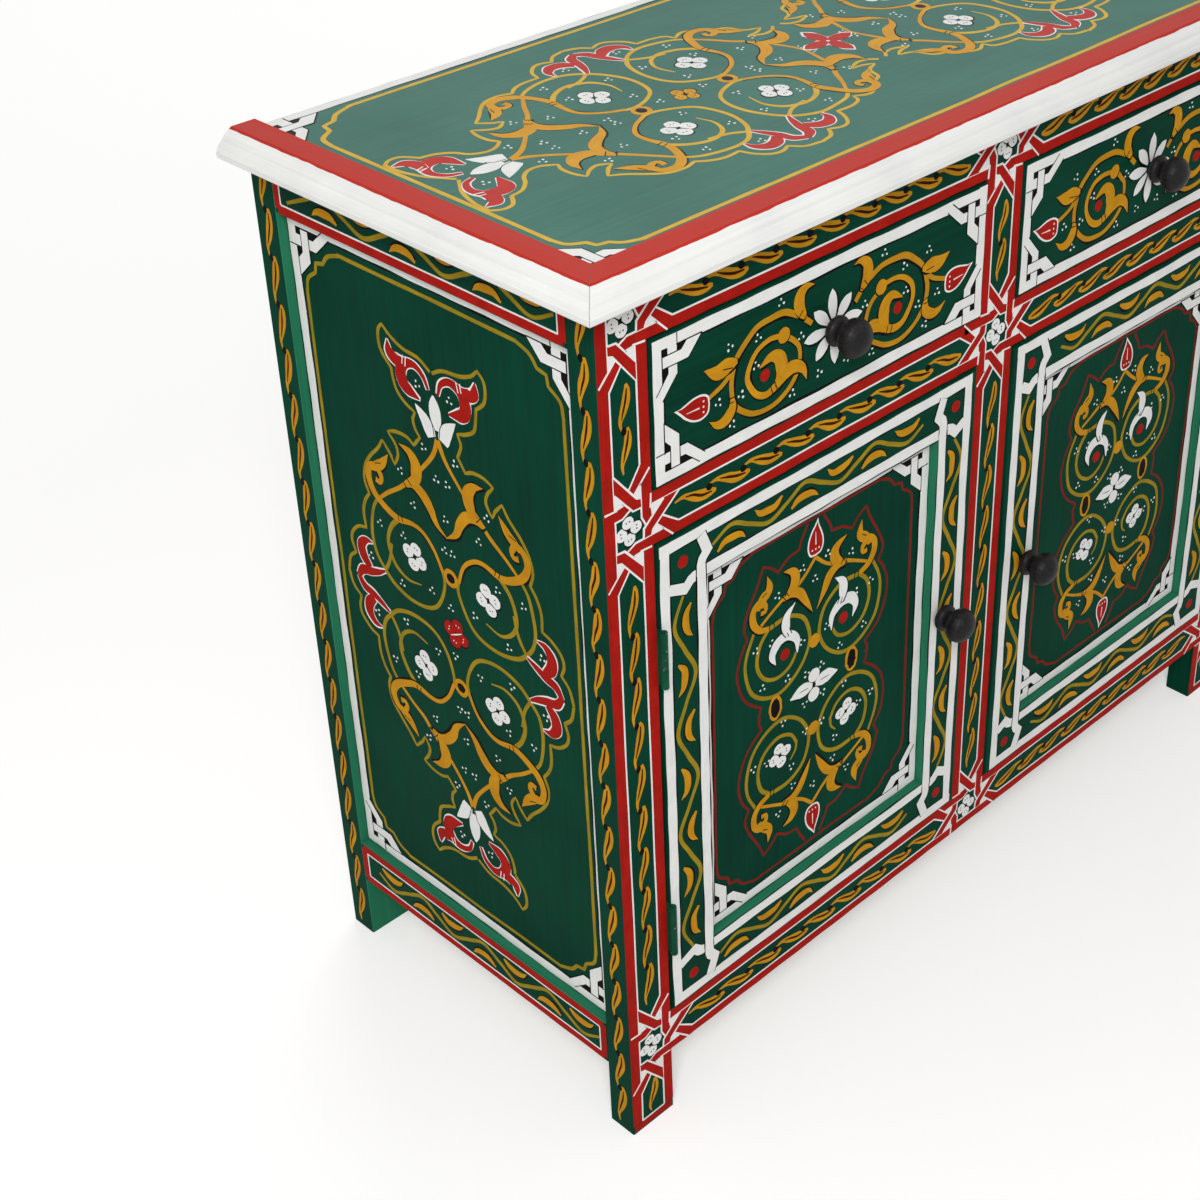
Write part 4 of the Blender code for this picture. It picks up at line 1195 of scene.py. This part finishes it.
class Look:
    """Node tree of a material or a world, built up node by node."""

    def __init__(self, owner, shader="Principled BSDF"):
        owner.use_nodes = True
        self.owner, self.tree = owner, owner.node_tree
        self.shader = self.tree.nodes[shader]

    def feed(self, socket, value):
        """Link a socket to another one, or set it to a constant."""
        if isinstance(value, bpy.types.NodeSocket):
            self.tree.links.new(value, socket)
        else:
            socket.default_value = value

    def set(self, name, value):
        self.feed(self.shader.inputs[name], value)

    def add(self, kind, inputs, **settings):
        """New node, with its inputs by name or number. Returns its outputs."""
        node = self.tree.nodes.new("ShaderNode" + kind)
        for name, value in settings.items():
            setattr(node, name, value)
        for name, value in inputs.items():
            self.feed(node.inputs[name], value)
        return node.outputs

    def where(self, output="Object"):
        return self.add("TexCoord", {})[output]

    def noise(self, vector, scale, detail):
        inputs = {"Vector": vector, "Scale": scale, "Detail": detail, "Roughness": NOISE_ROUGHNESS}
        return self.add("TexNoise", inputs)["Fac"]

    def blotches(self, scale, detail):
        return self.noise(self.where(), scale, detail)

    def streaks(self, vector, scale, detail):
        return self.noise(self.add("Mapping", {"Vector": vector, "Scale": scale})["Vector"], 1.0, detail)

    def grain(self, axis, along_grain, across, detail):
        scale = [across] * 3
        scale[axis] = along_grain
        return self.streaks(self.where(), scale, detail)

    def noises(self, axis, grain, blotches):
        return self.grain(axis, *grain), self.blotches(*blotches)

    def remap(self, value, source, target=WHOLE):
        ends = zip(("From Min", "From Max", "To Min", "To Max"), (*source, *target))
        return self.add("MapRange", {"Value": value, **dict(ends)})["Result"]

    def mix(self, factor, first, second):
        return self.add("Mix", {"Factor": factor, 6: first, 7: second}, data_type="RGBA")[2]

    def shaded(self, factor, tones):
        """From the darker tone to the lighter one."""
        return self.mix(factor, tones[1], tones[0])

    def math(self, operation, *values):
        return self.add("Math", dict(enumerate(values)), operation=operation)[0]

    def total(self, values, shares):
        return self.math("ADD", *(self.math("MULTIPLY", *pair) for pair in zip(values, shares)))

    def facing(self, direction):
        """1 where a surface faces a direction of the frame."""
        inputs = {0: self.where("Normal"), 1: direction}
        cosine = self.add("VectorMath", inputs, operation="DOT_PRODUCT")["Value"]
        return self.math("GREATER_THAN", cosine, LEAST_COSINE)

    def seen_rays(self):
        """1 for rays that show the background: from the camera, in a reflection or through glass."""
        rays = self.add("LightPath", {})
        seen = self.math("MAXIMUM", rays["Is Camera Ray"], rays["Is Glossy Ray"])
        return self.math("MAXIMUM", seen, rays["Is Transmission Ray"])

    def surface(self, gloss, relief, roughness, specular, marks):
        """Uneven gloss and shallow marks, each from a noise."""
        self.set("Roughness", self.remap(gloss, UNEVEN, roughness))
        self.set("Specular IOR Level", specular)
        inputs = {"Strength": marks[0], "Distance": marks[1], "Height": relief}
        self.set("Normal", self.add("Bump", inputs)["Normal"])

    def brushed(self, streaks, blotches, tones, finish):
        """Two tones in streaks and blotches, with uneven gloss and shallow brush marks."""
        self.surface(streaks, streaks, *finish)
        share = self.remap(self.total((streaks, blotches), PAINT_SHARES), PAINT_RANGE)
        return self.shaded(share, tones)

    def finished(self, colour):
        self.set("Base Color", colour)
        return self.owner


def new_look(name):
    return Look(bpy.data.materials.new(name))


def axis_by(choose, node):
    low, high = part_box(node)
    size = high - low
    return choose(range(3), key=lambda axis: size[axis])


def panel_of(node):
    """Panel that a member of a frame surrounds, if there is one."""
    for hand in SIDES:
        if node.startswith((f"door_{hand}_stile", f"door_{hand}_rail")):
            return f"door_{hand}_panel"
        if node.startswith(("post_", "rail_side_")) and node.endswith(hand):
            return "side_panel_" + hand
    return None


def inward(node, panel):
    """Direction of the edge of a frame's member that looks at the frame's panel."""
    axis = 3 - axis_by(max, node) - axis_by(min, panel)
    there, here = (sum(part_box(item), Vector())[axis] for item in (panel, node))
    edge = Vector()
    edge[axis] = math.copysign(1, there - here)
    return edge


def board_paint(node, tones, finish):
    """Paint brushed along a board. The edge that looks at a panel is a lighter green."""
    look = new_look(node)
    streaks, blotches = look.noises(axis_by(max, node), *BOARD_NOISE)
    colour = look.brushed(streaks, blotches, tones, finish)
    panel = panel_of(node)
    if panel:
        colour = look.mix(look.facing(inward(node, panel)), colour, look.shaded(streaks, EDGE_GREEN))
    return look.finished(colour)


def coat_material(name, tones, finish):
    """Ornament paint, streaked along each stroke."""
    look = new_look(name)
    brush = look.add("Attribute", {}, attribute_name="brush")["Vector"]
    streaks = look.streaks(brush, *COAT_STREAKS)
    return look.finished(look.brushed(streaks, look.blotches(*COAT_BLOTCHES), tones, finish))


def red_band(node, axis):
    """Middle and half the width of the red on a moulding's flat top, from the dresser's middle."""
    places = [vertex.co for vertex in NODES[node].data.vertices]
    top = max(place.z for place in places)
    flat = [abs(place[axis]) for place in places if place.z > top - FLAT]
    return (min(flat) + max(flat)) / 2, (max(flat) - min(flat)) / 2 + RED_LAP


def moulding_paint(node):
    """White moulding whose flat top is red, a lighter red than the frame's that is painted light from above.
    """
    axis, run = (Y, X) if node.endswith("front") else (X, Y)
    middle, reach = red_band(node, axis)
    look = new_look(node)
    streaks, blotches = look.noises(run, *MOULDING_NOISE)
    white = look.brushed(streaks, blotches, PAINTS[WHITE], MOULDING_FINISH)
    place = look.add("SeparateXYZ", {0: look.where()})[axis]
    distance = look.math("ABSOLUTE", look.math("SUBTRACT", look.math("ABSOLUTE", place), middle))
    wobble = look.remap(look.blotches(*MOULDING_WOBBLE), UNEVEN, RED_WOBBLE)
    inside = look.math("LESS_THAN", look.math("ADD", distance, wobble), reach)
    flat = look.math("MULTIPLY", inside, look.facing(UP))
    return look.finished(look.mix(flat, white, look.shaded(streaks, MOULDING_RED_PAINTED_LIGHT)))


def wood(node, tones, finish):
    """Bare wood with its grain along a board."""
    look = new_look(node)
    rings, fibres = (look.grain(axis_by(max, node), *grain) for grain in (WOOD_RINGS, WOOD_FIBRES))
    bands = look.math("PINGPONG", look.math("MULTIPLY", rings, RING_COUNT), RING_HALF)
    look.surface(fibres, fibres, *finish)
    return look.finished(look.mix(look.total((bands, fibres), WOOD_SHARES), *tones))


def knob_stain(node):
    """Black stain on turned wood, rubbed here and there."""
    look = new_look(node)
    fibres, rub = look.noises(Y, *KNOB_NOISE)
    colour = look.shaded(look.remap(fibres, STAIN_RANGE), STAIN)
    look.surface(rub, fibres, *KNOB_FINISH)
    return look.finished(look.mix(look.remap(rub, RUB_RANGE, RUB_SHARE), colour, RUBBED))


def hinge_paint(node):
    """Green paint over a steel hinge, chipped to the metal here and there."""
    look = new_look(node)
    streaks, spots = look.noises(Z, *HINGE_NOISE)
    chips = look.remap(spots, CHIP_RANGE)
    colour = look.shaded(look.remap(streaks, HINGE_RANGE), HINGE_GREEN)
    look.surface(streaks, streaks, *HINGE_FINISH)
    look.set("Metallic", chips)
    return look.finished(look.mix(chips, colour, STEEL))


# What makes the material of each slot, with its tones and its finish
MAKERS = {
    "white_paint": (moulding_paint,),
    "black_stain": (knob_stain,),
    "hinge_paint": (hinge_paint,),
    "bare_pine": (wood, PINE, PINE_FINISH),
    "plywood": (wood, PLY, PLY_FINISH),
    # The top board's lighter green is painted sheen and painted light from above
    "top_paint": (board_paint, TOP_GREEN_PAINTED_SHEEN, TOP_FINISH),
    "green_paint": (board_paint, GREEN, FRAME_FINISH),
}


def dress_nodes():
    for node, item in NODES.items():
        make, *looks = MAKERS[SLOT_OF[node]]
        item.data.materials.clear()
        item.data.materials.append(make(node, *looks))


# Floor, light and camera

FLOOR_SIZE = 14
FLOOR_COLOUR = (0.8, 0.8, 0.79, 1)
FLOOR_ROUGHNESS = 0.9
# Distances between which the floor's glow for the camera rises, and the glow there
FLOOR_FADE = (1.2, 6.0)
FLOOR_GLOW = (0.35, 0.7)
WHITE_LIGHT = (1, 1, 1, 1)
AMBIENT = 0.38
# Place, size and power of each lamp, and what they aim at
LIGHTS = {"key": ((-2.25, -2.0, 2.8), 1.1, 90), "fill": ((1.7, 1.9, 3.4), 2.4, 33)}
AIM = (0, 0, 0.45)
CAMERA_PLACE = (LEFT - 0.86205, FRONT - 0.97583, 1.47877)
CAMERA_WAY = (0.61834, 0.58558, -0.52417)
CAMERA_ROLL = math.radians(-0.2095)
CAMERA_LENS = 62.46
CAMERA_SENSOR = 36
CAMERA_SHIFT = (-0.13333, -0.08917)


def floor_material():
    """Pale floor that looks white from the camera, keeps the shadow and fades into the background."""
    look = new_look("floor")
    reach = look.add("VectorMath", {0: look.where()}, operation="LENGTH")["Value"]
    glow = look.remap(reach, FLOOR_FADE, FLOOR_GLOW)
    look.set("Roughness", FLOOR_ROUGHNESS)
    look.set("Specular IOR Level", 0.0)
    look.set("Emission Color", WHITE_LIGHT)
    look.set("Emission Strength", look.math("MULTIPLY", look.seen_rays(), glow))
    return look.finished(FLOOR_COLOUR)


def make_floor():
    mesh = bpy.data.meshes.new("floor")
    signs = ((-1, -1), (1, -1), (1, 1), (-1, 1))
    mesh.from_pydata([(a * FLOOR_SIZE, b * FLOOR_SIZE, 0) for a, b in signs], [], [range(4)])
    mesh.materials.append(floor_material())
    floor = new_object("floor", mesh)


def make_world():
    look = Look(bpy.data.worlds.new("studio"), "Background")
    bpy.context.scene.world = look.owner
    look.set("Color", WHITE_LIGHT)
    seen = look.math("MULTIPLY", look.seen_rays(), 1 - AMBIENT)
    look.set("Strength", look.math("ADD", seen, AMBIENT))


def make_lights():
    for name, (place, size, power) in LIGHTS.items():
        light = bpy.data.lights.new(name, "AREA")
        light.size, light.energy = size, power
        item = new_object(name, light)
        item.location = place
        item.rotation_euler = (Vector(AIM) - Vector(place)).to_track_quat("-Z", "Y").to_euler()


def make_camera():
    data = bpy.data.cameras.new("camera")
    data.lens, data.sensor_width, data.sensor_fit = CAMERA_LENS, CAMERA_SENSOR, "HORIZONTAL"
    data.shift_x, data.shift_y = CAMERA_SHIFT
    data.dof.use_dof = False
    item = new_object("camera", data)
    turn = Vector(CAMERA_WAY).to_track_quat("-Z", "Y").to_matrix() @ Matrix.Rotation(CAMERA_ROLL, 3, "Z")
    item.rotation_euler = turn.to_euler()
    item.location = CAMERA_PLACE
    bpy.context.scene.camera = item


COATS = {colour: coat_material("coat_" + colour, PAINTS[colour], COAT_FINISH) for colour in PAINTS}
# Lighter copies of the coats for the top: painted light from above
TOP_COATS_PAINTED_LIGHT = {colour: coat_material("top_painted_light_coat_" + colour, TOP_PAINTS_PAINTED_LIGHT[colour], TOP_FINISH) for colour in PAINTS}
dress_nodes()
for painted in painted_faces():
    for colour, coat in painted.coats.items():
        coat_object(f"paint_{painted.name}_{colour}", coat, painted.body, colour)
make_floor()
make_world()
make_lights()
make_camera()
bpy.context.scene.view_settings.view_transform = "Standard"
